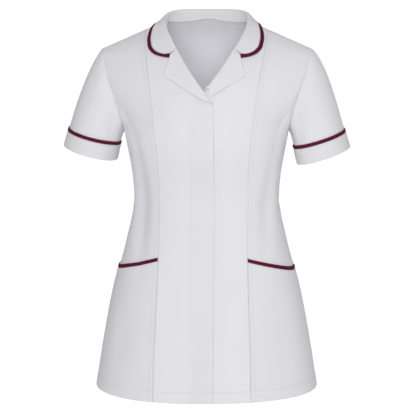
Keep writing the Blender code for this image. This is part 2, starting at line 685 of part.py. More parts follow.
def sleeve(cut, cloth, contrast):
    """Sleeve, the cuff band turned back over its hem, and the piping along the band's upper edge."""
    turns = [k / RINGS_ROUND for k in range(RINGS_ROUND)]
    downs = [k / LENGTH_STEPS for k in range(LENGTH_STEPS + 1)]
    lengths = [chords([sleeve_point(t, down, cut) for down in downs])[-1] for t in turns]
    cuff = [1 - CUFF_DEPTH / length for length in lengths]
    pipe = [1 - (CUFF_DEPTH + PIPING) / length for length in lengths]
    rings = []
    for k in range(SLEEVE_RINGS + 1):
        rings.append([sleeve_point(t, p * k / SLEEVE_RINGS, cut) for t, p in zip(turns, pipe)])
    rings.append([sleeve_point(t, c, cut) for t, c in zip(turns, cuff)])
    rings.append([sleeve_point(t, 1.0, cut) for t in turns])
    rings = mirrored(rings, cut.side)
    normals = grid_normals(rings, ring=True)
    middle = SLEEVE_RINGS // 2
    if ((rings[middle] - rings[middle].mean(axis=0)) * normals[middle]).sum() < 0:
        normals = -normals
    wall(f"sleeve_{cut.tag}", rings, normals, BODY_WALL, cloth, ring=True)
    lifted = rings + normals * (BAND_WALL + SEAM)
    band = lifted[-2:].copy()
    band[0] += (band[1] - band[0]) * SEAM / CUFF_DEPTH
    wall(f"cuff_{cut.tag}", band, normals[-2:], BAND_WALL, cloth, ring=True)
    wall(f"cuff_trim_{cut.tag}", lifted[-3:-1], normals[-3:-1], BAND_WALL, contrast, ring=True)


def main():
    cloth = material("white twill", WHITE, 0.85)
    contrast = material("burgundy piping", BURGUNDY, 0.7)
    back(cloth)
    for tag, side in (("right", -1), ("left", 1)):
        centre_front(f"front_{tag}_centre", side, cloth)
        side_front_with_pocket(tag, side, cloth, contrast)
    for cut in SLEEVES:
        sleeve(cut, cloth, contrast)
    for cut in LAPELS:
        lapel(cut, cloth)
    collar(cloth, contrast)


for old in list(bpy.data.objects):
    bpy.data.objects.remove(old)
COLLECTION = bpy.data.collections.new("medical tunic")
bpy.context.scene.collection.children.link(COLLECTION)
main()
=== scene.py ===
"""Looks of a short-sleeved healthcare tunic that is filled out as if worn.

Every cut piece becomes a fine cloth shell on its solid's form, with its seams, folds and creases. Stitches
are made by geometry nodes. Metres, +Z up, the front faces -Y, +X is the wearer's left, and the origin is in
the middle of the neck at the height of the high points of the shoulders.
"""

import math
from collections import namedtuple

import bpy
import numpy as np
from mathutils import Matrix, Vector


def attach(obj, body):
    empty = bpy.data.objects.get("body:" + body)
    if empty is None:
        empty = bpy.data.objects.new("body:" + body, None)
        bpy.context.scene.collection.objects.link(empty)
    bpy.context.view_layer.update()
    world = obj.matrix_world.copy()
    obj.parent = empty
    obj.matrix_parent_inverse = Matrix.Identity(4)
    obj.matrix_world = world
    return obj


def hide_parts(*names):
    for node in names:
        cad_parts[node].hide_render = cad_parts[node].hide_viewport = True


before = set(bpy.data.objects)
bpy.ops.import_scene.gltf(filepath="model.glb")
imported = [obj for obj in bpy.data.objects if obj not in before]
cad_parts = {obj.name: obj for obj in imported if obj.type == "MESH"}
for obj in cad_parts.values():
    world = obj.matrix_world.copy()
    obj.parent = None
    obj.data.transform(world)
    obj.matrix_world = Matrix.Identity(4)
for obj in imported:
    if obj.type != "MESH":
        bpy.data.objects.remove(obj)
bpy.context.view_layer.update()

# Sizes shared with the frame, in metres
SEAM = 0.0003              # gap between pieces that are sewn together
BODY_WALL = 0.0010
FOLD_WALL = 0.0016         # collar and lapels, two layers of cloth
BAND_WALL = 0.0011         # pockets, cuffs and their piping
PIPING = 0.0060            # width of the contrast strips on the cuffs and the pockets
COLLAR_PIPING = 0.0070     # width of the one round the collar
HALF_LAP = 0.0204          # how far the right front passes the centre
HALF_UNDERLAP = 0.0200     # how far the left front passes it, underneath
NECK_HALF_WIDTH = 0.0800
FOLD_REACH = 0.0037        # how far a rolled edge stands past the edge that it covers
FOLD_HEIGHT = 0.0054       # height of the rolled edge of a lapel over the front
EDGE_HEIGHT = FOLD_WALL + 0.0010
FOLD_FADE = 0.055          # distance over which the roll flattens
FOLD_INSET = 0.0030        # how far past the neck edge the flat part of a lapel or the collar starts
NECK_SHIFT = 0.0040        # how much nearer the centre the wearer's right neck edge, lapel and collar lie
SHIFT_KEPT = 0.3           # share of that shift that is left over the heights below, at the neck
SHIFT_HEIGHTS = (-0.040, 0.004)
SHIFT_FADE = (0.066, 0.100)    # distance from the centre over which it goes to nothing
LAP_SINK = 0.0017          # how far the left front is sunk under the right one
LAP_FADE = (0.0030, 0.0220)    # distance past the lap over which it rises again
CUFF_DEPTH = 0.029
HEM_SKEW = 0.0018
HEM_SKEW_RISE = 0.20

# The torso is one surface, as in the frame. A row crosses it from the centre to the side seam, the armhole
# or the shoulder point, and the rows run from the front hem over the shoulder to the back hem.
Row = namedtuple("Row", "name end_x end_y end_z mid_y mid_z closure square drop princess")
ROWS = [
    Row("front hem", 0.2140, 0.000, -0.703, -0.146, -0.708, 1.00, 2.50, 2.0, 0.0920),
    Row("front skirt", 0.1992, 0.000, -0.612, -0.139, -0.615, 1.00, 2.45, 2.0, 0.0900),
    Row("front hip", 0.1788, 0.000, -0.508, -0.129, -0.510, 1.00, 2.40, 2.0, 0.0858),
    Row("front high hip", 0.1548, 0.000, -0.420, -0.1165, -0.420, 1.00, 2.35, 2.0, 0.0834),
    Row("front waist", 0.1392, 0.000, -0.335, -0.104, -0.335, 1.00, 2.30, 2.0, 0.0832),
    Row("front rib", 0.1430, 0.000, -0.285, -0.113, -0.285, 1.00, 2.35, 2.0, 0.0841),
    Row("front bust", 0.1508, 0.000, -0.240, -0.126, -0.235, 1.00, 2.40, 2.0, 0.0872),
    Row("front underarm", 0.1570, 0.000, -0.208, -0.127, -0.190, 1.00, 2.40, 2.0, 0.0915),
    Row("front scye", 0.1612, -0.024, -0.196, -0.124, -0.165, 0.94, 2.30, 1.8, 0.0942),
    Row("front chest", 0.1690, -0.037, -0.162, -0.117, -0.142, 0.85, 2.20, 1.6, 0.0970),
    Row("front high chest", 0.1830, -0.040, -0.118, -0.096, -0.095, 0.75, 2.10, 1.4, 0.1035),
    Row("front yoke", 0.1910, -0.029, -0.083, -0.066, -0.045, 0.65, 2.00, 1.2, 0.1100),
    Row("front top", 0.1960, -0.012, -0.061, -0.034, -0.003, 0.60, 2.00, 1.1, 0.1140),
    Row("shoulder", 0.1990, 0.006, -0.0540, 0.002, 0.032, 0.60, 2.00, 1.0, 0.1160),
    Row("back top", 0.1970, 0.024, -0.060, 0.043, 0.018, 0.60, 2.00, 1.1, 0.1125),
    Row("back yoke", 0.1940, 0.041, -0.080, 0.080, -0.022, 0.65, 2.00, 1.2, 0.1125),
    Row("back upper", 0.1875, 0.052, -0.115, 0.102, -0.074, 0.75, 2.10, 1.4, 0.1125),
    Row("back blade", 0.1790, 0.051, -0.158, 0.113, -0.128, 0.85, 2.20, 1.6, 0.1125),
    Row("back scye", 0.1660, 0.030, -0.195, 0.115, -0.165, 0.94, 2.30, 1.8, 0.1125),
    Row("back underarm", 0.1570, 0.000, -0.208, 0.114, -0.194, 1.00, 2.35, 2.0, 0.1125),
    Row("back bust", 0.1508, 0.000, -0.240, 0.109, -0.238, 1.00, 2.30, 2.0, 0.1125),
    Row("back rib", 0.1430, 0.000, -0.285, 0.099, -0.285, 1.00, 2.25, 2.0, 0.1125),
    Row("back waist", 0.1392, 0.000, -0.335, 0.089, -0.335, 1.00, 2.20, 2.0, 0.1125),
    Row("back high hip", 0.1548, 0.000, -0.420, 0.105, -0.420, 1.00, 2.25, 2.0, 0.1125),
    Row("back hip", 0.1788, 0.000, -0.508, 0.131, -0.510, 1.00, 2.35, 2.0, 0.1125),
    Row("back skirt", 0.1992, 0.000, -0.612, 0.142, -0.614, 1.00, 2.40, 2.0, 0.1125),
    Row("back hem", 0.2140, 0.000, -0.703, 0.148, -0.706, 1.00, 2.45, 2.0, 0.1125),
]
NAMES = [row.name for row in ROWS]

# The roll line, where the lapels and the collar turn back, from below the break to the shoulder
Roll = namedtuple("Roll", "x z")
ROLL_LINE = [
    Roll(-0.0330, -0.1720),
    Roll(-0.0185, -0.1520),
    Roll(0.0000, -0.1285),
    Roll(0.0285, -0.0905),
    Roll(0.0515, -0.0550),
    Roll(0.0640, -0.0350),
    Roll(0.0725, -0.0165),
    Roll(0.0765, 0.0000),
]
BACK_NECK_Y = 0.061
SHOULDER_Y = 0.003

# The collar, from the centre back to the gorge. In front of the shoulder its fold follows the roll line. At
# the gorge the seam of its piping has a place of its own, the notch.
Station = namedtuple("Station", "name fold_x fold_y fold_z outer_x outer_z seam_x seam_z",
                     defaults=(None, None))
COLLAR = [
    Station("centre back", 0.0000, 0.0710, 0.0195, 0.0000, -0.0240),
    Station("back", 0.0360, 0.0645, 0.0195, 0.0460, -0.0245),
    Station("back side", 0.0625, 0.0470, 0.0180, 0.0810, -0.0225),
    Station("behind shoulder", 0.0740, 0.0240, 0.0135, 0.0985, -0.0165),
    Station("shoulder", 0.0772, 0.0040, 0.0045, 0.1010, -0.0118),
    Station("front of shoulder", 0.0748, None, -0.0110, 0.1058, -0.0190),
    Station("front", 0.0690, None, -0.0245, 0.1086, -0.0300),
    Station("corner top", 0.0637, None, -0.0355, 0.1082, -0.0425),
    Station("corner", 0.0587, None, -0.0437, 0.1035, -0.0548),
    Station("corner end", 0.0553, None, -0.0490, 0.0935, -0.0630),
    Station("front edge", 0.0530, None, -0.0527, 0.0798, -0.0674),
    Station("gorge", 0.0515, None, -0.0550, 0.0680, -0.0686, 0.0658, -0.0612),
]

# Lapel corners on the front, measured from the centre towards the lapel's own side
Corner = namedtuple("Corner", "x z")
LAPEL_NOTCH = Corner(0.0646, -0.0630)
LAPEL_TIP = Corner(0.0762, -0.1003)
LAPEL_GORGE = Corner(0.0513, -0.0570)

# Each lapel: where it starts on the roll line, and the elbow and its pull on the lower edge
Lapel = namedtuple("Lapel", "tag side start_z elbow pull")
LAPELS = [
    Lapel("right", -1, -0.1490, Corner(0.0080, -0.1425), 1.0),
    Lapel("left", 1, -0.1228, Corner(0.0136, -0.1372), 9.0),
]

# Pocket mouth on the side front, from the princess seam to the side seam
POCKET_MOUTH = [
    Corner(0.0834, -0.4390),
    Corner(0.1130, -0.4480),
    Corner(0.1450, -0.4585),
    Corner(0.1670, -0.4670),
]

# The sleeves: tilt out from the vertical in degrees, the centre of the cuff, and how far the head stands out
# over the shoulder
Sleeve = namedtuple("Sleeve", "tag side tilt cuff_x cuff_z puff")
SLEEVES = [
    Sleeve("right", -1, 15.6, 0.2255, -0.2532, 0.27),
    Sleeve("left", 1, 18.4, 0.2237, -0.2562, 0.40),
]
SLEEVE_OUT = (0.32, -0.45, -0.95)      # way off the armhole: out at the underarm, to the front and down
SLEEVE_DROP = 0.24         # how much less steeply it falls at the top
SLEEVE_FULL = 0.70         # how far that way is kept, as a share of the sleeve's length
HEAD_GAP = 0.0008          # from the armhole's edge to the head of the sleeve
HEAD_RISE = 0.0004
HEAD_TUCK = 0.0016         # how far the head of the sleeve runs on under the edge of the body
HEAD_SINK = 0.0012
EDGE_SHARE = 0.995         # share of a row at which the armhole's normal is taken
ARM_SIDE = np.array([0.05, 0, 0])      # from the middle of the armhole towards the arm
SLEEVE_LEAN = math.radians(2)
CUFF_Y = 0.010
CUFF_HALF_WIDTH = 0.0520
CUFF_HALF_DEPTH = 0.0620

# Fineness of the cloth
EDGE_MARKS = (0.0, 0.0006, 0.0015, 0.0030, 0.0050)   # rows of points beside a seam
HEM_DEPTH = 0.020
RIM = 0.0001               # how far an edge bulges at a seam
ROUND_RIM = 0.0005         # and where it is a free folded edge

# Creases. On "front" and "back", u is the distance round the body from the centre line, positive to the
# wearer's left. On "right side" and "left side", u is the distance from the side seam, negative in front.
# Each runs between two points, bowed sideways, and fades at both ends. A negative depth is a trough.
Crease = namedtuple("Crease", "face u0 z0 u1 z1 bow width depth")
CREASES = [
    # cloth that swells between the troughs under the armholes and at the waist
    Crease("front", -0.166, -0.142, -0.128, -0.200, 0.006, 0.0120, 0.0009),
    Crease("front", 0.172, -0.138, 0.132, -0.198, -0.005, 0.0120, 0.0008),
    Crease("front", -0.164, -0.260, -0.160, -0.400, -0.003, 0.0110, 0.0010),
    Crease("front", 0.156, -0.255, 0.149, -0.405, 0.003, 0.0120, 0.0012),
    # faint pressed lines above the bust
    Crease("front", -0.178, -0.098, -0.108, -0.096, 0.001, 0.0022, 0.0006),
    Crease("front", 0.104, -0.095, 0.180, -0.099, -0.001, 0.0022, 0.0007),
    # centre front, waist and skirt
    Crease("front", -0.060, -0.285, 0.062, -0.300, 0.006, 0.0180, -0.0010),
    Crease("front", -0.052, -0.430, -0.070, -0.640, -0.005, 0.0140, -0.0012),
    Crease("front", 0.048, -0.440, 0.066, -0.655, 0.006, 0.0160, 0.0010),
    Crease("front", -0.150, -0.520, -0.182, -0.690, 0.004, 0.0200, -0.0022),
    Crease("front", 0.142, -0.500, 0.176, -0.690, -0.004, 0.0210, -0.0018),
    # side seams
    Crease("right side", -0.030, -0.330, 0.022, -0.352, 0.003, 0.0070, -0.0012),
    Crease("right side", 0.034, -0.300, -0.008, -0.318, 0.002, 0.0065, -0.0009),
    Crease("left side", -0.026, -0.336, 0.030, -0.346, -0.003, 0.0070, -0.0011),
    Crease("left side", 0.036, -0.306, -0.004, -0.322, 0.002, 0.0060, -0.0009),
    # back
    Crease("back", -0.172, -0.128, -0.128, -0.250, 0.005, 0.0110, -0.0022),
    Crease("back", 0.170, -0.132, 0.130, -0.242, -0.005, 0.0110, -0.0020),
    Crease("back", -0.096, -0.245, -0.100, -0.440, 0.005, 0.0150, -0.0026),
    Crease("back", 0.092, -0.255, 0.099, -0.450, -0.005, 0.0160, -0.0030),
    Crease("back", -0.070, -0.322, 0.052, -0.338, 0.005, 0.0110, -0.0012),
    Crease("back", -0.040, -0.352, 0.078, -0.345, -0.004, 0.0100, -0.0010),
    Crease("back", -0.034, -0.110, 0.006, -0.230, -0.004, 0.0150, -0.0010),
    Crease("back", -0.118, -0.470, -0.140, -0.690, 0.006, 0.0190, -0.0022),
    Crease("back", -0.030, -0.455, -0.044, -0.680, -0.006, 0.0180, 0.0018),
    Crease("back", 0.052, -0.460, 0.070, -0.690, 0.006, 0.0170, -0.0020),
    Crease("back", 0.138, -0.480, 0.160, -0.690, -0.005, 0.0200, 0.0016),
]

# Longer troughs that bend, by points from one end to the other. Each goes on smoothly through its points.
Bend = namedtuple("Bend", "u z width depth")
TROUGHS = {
    "front": [
        # under the armhole of the wearer's right and down beside the princess seam to the waist
        [Bend(-0.200, -0.118, 0.0050, 0.0), Bend(-0.187, -0.150, 0.0055, -0.0014),
         Bend(-0.172, -0.174, 0.0060, -0.0020), Bend(-0.157, -0.197, 0.0065, -0.0022),
         Bend(-0.141, -0.220, 0.0090, -0.0022), Bend(-0.132, -0.265, 0.0150, -0.0040),
         Bend(-0.130, -0.330, 0.0205, -0.0082), Bend(-0.130, -0.385, 0.0225, -0.0088),
         Bend(-0.128, -0.440, 0.0200, -0.0045), Bend(-0.126, -0.490, 0.0160, 0.0)],
        # and on the wearer's left
        [Bend(0.202, -0.112, 0.0050, 0.0), Bend(0.193, -0.150, 0.0055, -0.0013),
         Bend(0.180, -0.173, 0.0060, -0.0018), Bend(0.161, -0.196, 0.0065, -0.0020),
         Bend(0.149, -0.233, 0.0090, -0.0016), Bend(0.141, -0.270, 0.0110, -0.0016),
         Bend(0.130, -0.335, 0.0180, -0.0050), Bend(0.126, -0.400, 0.0170, -0.0038),
         Bend(0.119, -0.450, 0.0120, 0.0)],
    ],
}

# Creases of a sleeve: turn runs round it from the underarm, over the front and the top, and down runs from
# the armhole at 0 to the cuff at 1
Fold = namedtuple("Fold", "tag turn0 down0 turn1 down1 width depth")
FOLDS = [
    Fold("right", 0.16, 0.02, 0.12, 0.62, 0.0120, -0.0013),
    Fold("right", 0.27, 0.05, 0.24, 0.80, 0.0140, 0.0009),
    Fold("right", 0.36, 0.10, 0.37, 0.84, 0.0110, -0.0007),
    Fold("right", 0.82, 0.05, 0.86, 0.66, 0.0120, -0.0012),
    Fold("right", 0.70, 0.10, 0.72, 0.80, 0.0130, 0.0007),
    Fold("right", 0.98, 0.10, 0.04, 0.60, 0.0080, -0.0008),
    Fold("left", 0.17, 0.02, 0.13, 0.58, 0.0120, -0.0013),
    Fold("left", 0.26, 0.06, 0.23, 0.84, 0.0150, 0.0010),
    Fold("left", 0.34, 0.12, 0.38, 0.80, 0.0100, -0.0008),
    Fold("left", 0.83, 0.05, 0.88, 0.60, 0.0120, -0.0011),
    Fold("left", 0.69, 0.12, 0.71, 0.82, 0.0140, 0.0008),
    Fold("left", 0.97, 0.12, 0.03, 0.62, 0.0080, -0.0007),
]


# Curves


def smooth_step(low, high, value):
    s = np.clip((np.asarray(value, float) - low) / (high - low), 0.0, 1.0)
    return s * s * (3 - 2 * s)


def chords(points):
    """Distances along a list of points, from 0."""
    steps = np.linalg.norm(np.diff(np.asarray(points, float), axis=0), axis=1)
    return np.concatenate([[0.0], np.cumsum(steps)])


def hermite(knots, values, at, breaks=()):
    """Smooth curve through values at knots. At the knots in breaks its direction may change sharply."""
    knots, values, at = (np.asarray(a, float) for a in (knots, values, at))
    single = values.ndim == 1
    table = values[:, None] if single else values
    step = np.diff(knots)
    slope = np.diff(table, axis=0) / step[:, None]
    leaving = np.empty_like(table)
    leaving[0], leaving[-1] = slope[0], slope[-1]
    weight = (step[:-1] + step[1:])[:, None]
    leaving[1:-1] = (slope[:-1] * step[1:, None] + slope[1:] * step[:-1, None]) / weight
    arriving = leaving.copy()
    for k in breaks:
        leaving[k], arriving[k] = slope[k], slope[k - 1]
    i = np.clip(np.searchsorted(knots, at, side="right") - 1, 0, len(knots) - 2)
    h = step[i][..., None]
    s = (at[..., None] - knots[i][..., None]) / h
    result = ((2 * s**3 - 3 * s**2 + 1) * table[i] + (s**3 - 2 * s**2 + s) * h * leaving[i]
              + (3 * s**2 - 2 * s**3) * table[i + 1] + (s**3 - s**2) * h * arriving[i + 1])
    return result[..., 0] if single else result


# Torso surface, kept as a fine table over share and level

LEVELS = chords([[row.end_x, row.end_y, row.end_z] for row in ROWS])
CORNER_ROWS = (NAMES.index("front underarm"), NAMES.index("back underarm"))
SHOULDER = LEVELS[NAMES.index("shoulder")]
FRONT_UNDERARM, BACK_UNDERARM = (LEVELS[i] for i in CORNER_ROWS)
FRONT_HEM, BACK_HEM = LEVELS[0], LEVELS[-1]
WAIST = LEVELS[NAMES.index("front waist")]
ENDS = np.array([[row.end_x, row.end_y, row.end_z] for row in ROWS])
# How deep each row still is at its end, as a share of its whole depth: 0 where it turns back to a side seam
END_DEPTHS = [(1 - row.closure**row.square) ** (1 / row.square) for row in ROWS]
INNER = np.array([[row.mid_y, row.mid_z, end, row.square, row.drop, row.princess]
                  for row, end in zip(ROWS, END_DEPTHS)])
ROW_POINTS = 97
CORNER_REACH = (0.88, 1.0)     # the corner of the underarm shows only in this part of a row
TABLE_SHARES = 241
SHARE_HALVINGS = 22           # halvings in the searches for a share and for a level
LEVEL_HALVINGS = 24
LEVEL_STEP = 0.002            # to either side, for the way along an armhole
EASE_ROWS = 10                # rows over which the level of the underarm is evened out
EASE_REACH = 0.055
EASE_ENDS = (0.80, 0.97)      # shares of a row from which its end stays as it is
TABLE_LEVELS = np.unique(np.concatenate([np.linspace(FRONT_HEM, BACK_HEM, 760), LEVELS]))


def torso_table():
    """Points at every level and share of the table, and the length of each row."""
    inner = hermite(LEVELS, INNER, TABLE_LEVELS)
    mid_y, mid_z, end_depth, square, drop = (inner[:, k, None] for k in range(5))
    closure = (1 - np.maximum(end_depth, 0.0) ** square) ** (1 / square)
    across = np.sin(np.linspace(0, math.pi / 2, ROW_POINTS))[None]
    sharp = smooth_step(*CORNER_REACH, across)[..., None]
    ends = hermite(LEVELS, ENDS, TABLE_LEVELS)[:, None] * (1 - sharp)
    ends = ends + hermite(LEVELS, ENDS, TABLE_LEVELS, CORNER_ROWS)[:, None] * sharp
    depth = (1 - np.minimum(closure * across, 1.0) ** square) ** (1 / square)
    bulge = (depth - depth[:, -1:]) / (1 - depth[:, -1:])
    x = ends[..., 0] * across
    y = ends[..., 1] + (mid_y - ends[..., 1]) * bulge
    z = mid_z + (ends[..., 2] - mid_z) * across**drop
    rows = np.stack([x, y, z], axis=2)
    half, length = [], []
    shares = np.linspace(0, 1, TABLE_SHARES)
    for row in rows:
        along = chords(row)
        half.append([np.interp(shares, along / along[-1], row[:, k]) for k in range(3)])
        length.append(along[-1])
    half = np.swapaxes(np.array(half), 1, 2)
    whole = np.concatenate([half[:, :0:-1] * [-1, 1, 1], half], axis=1)
    signed = np.linspace(-1, 1, 2 * TABLE_SHARES - 1)
    fade = 1 - smooth_step(0, HEM_SKEW_RISE, TABLE_LEVELS)
    whole[..., 2] += HEM_SKEW * np.sin(math.pi * signed)[None] * fade[:, None]
    return eased(whole, signed), np.array(length)


def eased(points, signed):
    """The rows round the underarm level evened out with their neighbours, all but their ends."""
    reach = np.arange(-3 * EASE_ROWS, 3 * EASE_ROWS + 1)
    weights = np.exp(-((reach / EASE_ROWS) ** 2))
    around = np.clip(np.arange(len(points))[:, None] + reach, 0, len(points) - 1)
    even = np.einsum("k,ikjc->ijc", weights / weights.sum(), points[around])
    near = sum(np.exp(-(((TABLE_LEVELS - level) / EASE_REACH) ** 2))
               for level in (FRONT_UNDERARM, BACK_UNDERARM))
    inside = 1 - smooth_step(*EASE_ENDS, np.abs(signed))
    share = (near[:, None] * inside[None])[..., None]
    return points * (1 - share) + even * share


def unit(vectors):
    return vectors / np.maximum(np.linalg.norm(vectors, axis=-1, keepdims=True), 1e-12)


TORSO, ROW_LENGTH = torso_table()
TORSO_NORMALS = unit(np.cross(np.gradient(TORSO, axis=1), np.gradient(TORSO, TABLE_LEVELS, axis=0)))


def looked_up(table, share, level):
    """Value of a table over the torso, between its points."""
    share, level = np.broadcast_arrays(np.asarray(share, float), np.asarray(level, float))
    a = np.interp(level, TABLE_LEVELS, np.arange(len(TABLE_LEVELS)))
    b = np.clip((share + 1) / 2, 0, 1) * (2 * TABLE_SHARES - 2)
    i = np.minimum(a.astype(int), len(TABLE_LEVELS) - 2)
    j = np.minimum(b.astype(int), 2 * TABLE_SHARES - 3)
    a, b = (a - i)[..., None], (b - j)[..., None]
    low = table[i, j] * (1 - b) + table[i, j + 1] * b
    high = table[i + 1, j] * (1 - b) + table[i + 1, j + 1] * b
    return low * (1 - a) + high * a


def torso(share, level):
    return looked_up(TORSO, share, level)


def torso_normal(share, level):
    return unit(looked_up(TORSO_NORMALS, share, level))


def row_length(level):
    return np.interp(level, TABLE_LEVELS, ROW_LENGTH)


def share_at(x, level):
    """Share of the row at a signed x."""
    x, level = np.broadcast_arrays(np.asarray(x, float), np.asarray(level, float))
    low, high = np.zeros(x.shape), np.ones(x.shape)
    for _ in range(SHARE_HALVINGS):
        middle = (low + high) / 2
        below = torso(middle, level)[..., 0] < np.abs(x)
        low, high = np.where(below, middle, low), np.where(below, high, middle)
    return np.copysign((low + high) / 2, x)


def level_where(reached, low, high, shape):
    """Level between low and high at which reached(level) turns true."""
    low, high = np.full(shape, float(low)), np.full(shape, float(high))
    for _ in range(LEVEL_HALVINGS):
        middle = (low + high) / 2
        done = reached(middle)
        low, high = np.where(done, low, middle), np.where(done, middle, high)
    return (low + high) / 2


def level_at(x, z):
    """Level on the fronts at which the torso has height z at x."""
    x, z = np.broadcast_arrays(np.asarray(x, float), np.asarray(z, float))
    return level_where(lambda level: torso(share_at(x, level), level)[..., 2] >= z,
                       FRONT_HEM, SHOULDER, x.shape)


def back_level_at(x, z):
    """Level on the back at which the torso has height z at x."""
    x, z = np.broadcast_arrays(np.asarray(x, float), np.asarray(z, float))
    return level_where(lambda level: torso(share_at(x, level), level)[..., 2] <= z,
                       SHOULDER, BACK_UNDERARM, x.shape)


def princess_x(level):
    return hermite(LEVELS, INNER[:, 5], level)


def roll_x(z):
    return hermite([p.z for p in ROLL_LINE], [p.x for p in ROLL_LINE], z)


def drawn_over(side, x, z):
    """x of a place on the neck edge, a lapel or the collar, which lie nearer the centre on the wearer's
    right."""
    if side > 0:
        return x
    kept = 1 - (1 - SHIFT_KEPT) * smooth_step(*SHIFT_HEIGHTS, z)
    return x - NECK_SHIFT * kept * (1 - smooth_step(*SHIFT_FADE, x))


# Relief: creases, and how the cloth draws in at its seams


def crease_relief(face, u, z):
    """Height of all the creases of one face at distances u and heights z."""
    height = np.zeros(np.shape(u))
    for c in CREASES:
        if c.face != face:
            continue
        run = np.array([c.u1 - c.u0, c.z1 - c.z0])
        length = np.linalg.norm(run)
        run /= length
        along = ((u - c.u0) * run[0] + (z - c.z0) * run[1]) / length
        aside = (u - c.u0) * -run[1] + (z - c.z0) * run[0] - c.bow * 4 * along * (1 - along)
        fade = smooth_step(0, 0.35, along) * (1 - smooth_step(0.62, 1, along))
        height += c.depth * fade * np.exp(-(aside / c.width) ** 2)
    return height


def trough_relief(face, u, z):
    """Height of the bent troughs of one face at distances u and heights z."""
    height = np.zeros(np.shape(u))
    for bends in TROUGHS.get(face, []):
        points = np.array(bends)
        knots = chords(points[:, :2])
        line = hermite(knots, points, np.linspace(0, knots[-1], 90))
        apart = np.hypot(u[..., None] - line[:, 0], z[..., None] - line[:, 1])
        nearest = apart.argmin(axis=-1)
        width, depth = line[nearest, 2], line[nearest, 3]
        height += depth * np.exp(-(apart.min(axis=-1) / width) ** 2)
    return height


def torso_relief(share, level):
    """Height of the creases over the torso."""
    share, level = np.broadcast_arrays(np.asarray(share, float), np.asarray(level, float))
    length = row_length(level)
    z = torso(share, level)[..., 2]
    front = level < SHOULDER
    around = share * length
    from_side = (1 - np.abs(share)) * length * np.where(front, -1, 1)
    height = np.where(front, crease_relief("front", around, z) + trough_relief("front", around, z),
                      crease_relief("back", around, z))
    side = np.where(share < 0, crease_relief("right side", from_side, z),
                    crease_relief("left side", from_side, z))
    near_hem = np.minimum(level - FRONT_HEM, BACK_HEM - level)
    return (height + side) * (0.35 + 0.65 * smooth_step(0, 0.05, near_hem))


def seam_draw(distance, along, seed, pull=1.0):
    """Height beside a seam at a distance from it: the cloth rolls in, puckers a little and lies over its
    turned-in allowance. pull is how hard the seam draws it in."""
    roll_in = -0.00042 * pull * np.exp(-(distance / 0.0011) ** 2)
    allowance = 0.00022 * np.exp(-((distance - 0.0045) / 0.0035) ** 2)
    return roll_in + allowance + pucker(distance, along, seed)


def pucker(distance, along, seed):
    """Uneven little waves across a stitched seam, fading off it."""
    spread = np.random.default_rng(seed)
    wave = 0.0
    for pitch in (0.0095, 0.0142, 0.0231, 0.037):
        phase = spread.uniform(0, 2 * math.pi)
        wave = wave + np.sin(2 * math.pi * along / pitch + phase) * spread.uniform(0.5, 1)
    return 0.00006 * wave * np.exp(-(distance / 0.008) ** 2)


ARM_DIP = 0.0022           # how far the body and the sleeve fall in at the lower armhole
ARM_DIP_BODY = 0.0085      # and over what distances
ARM_DIP_SLEEVE = 0.0110


def arm_dip(up):
    """Depth of the valley along an armhole at a share of the way up it, in front or behind."""
    return ARM_DIP * smooth_step(-0.06, 0.10, up) * (1 - smooth_step(0.40, 0.90, up))


def body_dip(from_end, level):
    """Height of that valley on the body, at a distance from the armhole's edge."""
    up = np.where(level < SHOULDER, (level - FRONT_UNDERARM) / (SHOULDER - FRONT_UNDERARM),
                  (BACK_UNDERARM - level) / (BACK_UNDERARM - SHOULDER))
    return -arm_dip(up) * np.exp(-(from_end / ARM_DIP_BODY) ** 2)


# Shells

RIM_STEPS = ((0.2, 0.75), (0.5, 1.0), (0.8, 0.75))     # share of the wall, and share of the rim's bulge
FIELDS = ("stitch_a", "stitch_b", "stitch_c", "seam", "edge")   # distances on the cloth: the stitch lines' give grooves with painted shade, the seams' give painted shade
FAR = 1.0


def border(rows, columns):
    """Rows and columns of a grid's border points, once round."""
    first = [(0, j) for j in range(columns)]
    right = [(i, columns - 1) for i in range(1, rows)]
    last = [(rows - 1, j) for j in range(columns - 2, -1, -1)]
    left = [(i, 0) for i in range(rows - 2, 0, -1)]
    return np.array(first + right + last + left)


def border_loops(rows, columns, ring, rims):
    """Each closed border as its rows, columns and rim size. rims are for the first row, the right column,
    the last row and the left column."""
    if ring:
        j = np.arange(columns)
        return [(np.zeros(columns, int), j, np.full(columns, rims[0])),
                (np.full(columns, rows - 1), j[::-1], np.full(columns, rims[2]))]
    i, j = border(rows, columns).T
    size = np.where(i == 0, rims[0], np.where(i == rows - 1, rims[2], np.where(j == 0, rims[3], rims[1])))
    return [(i, j, size)]


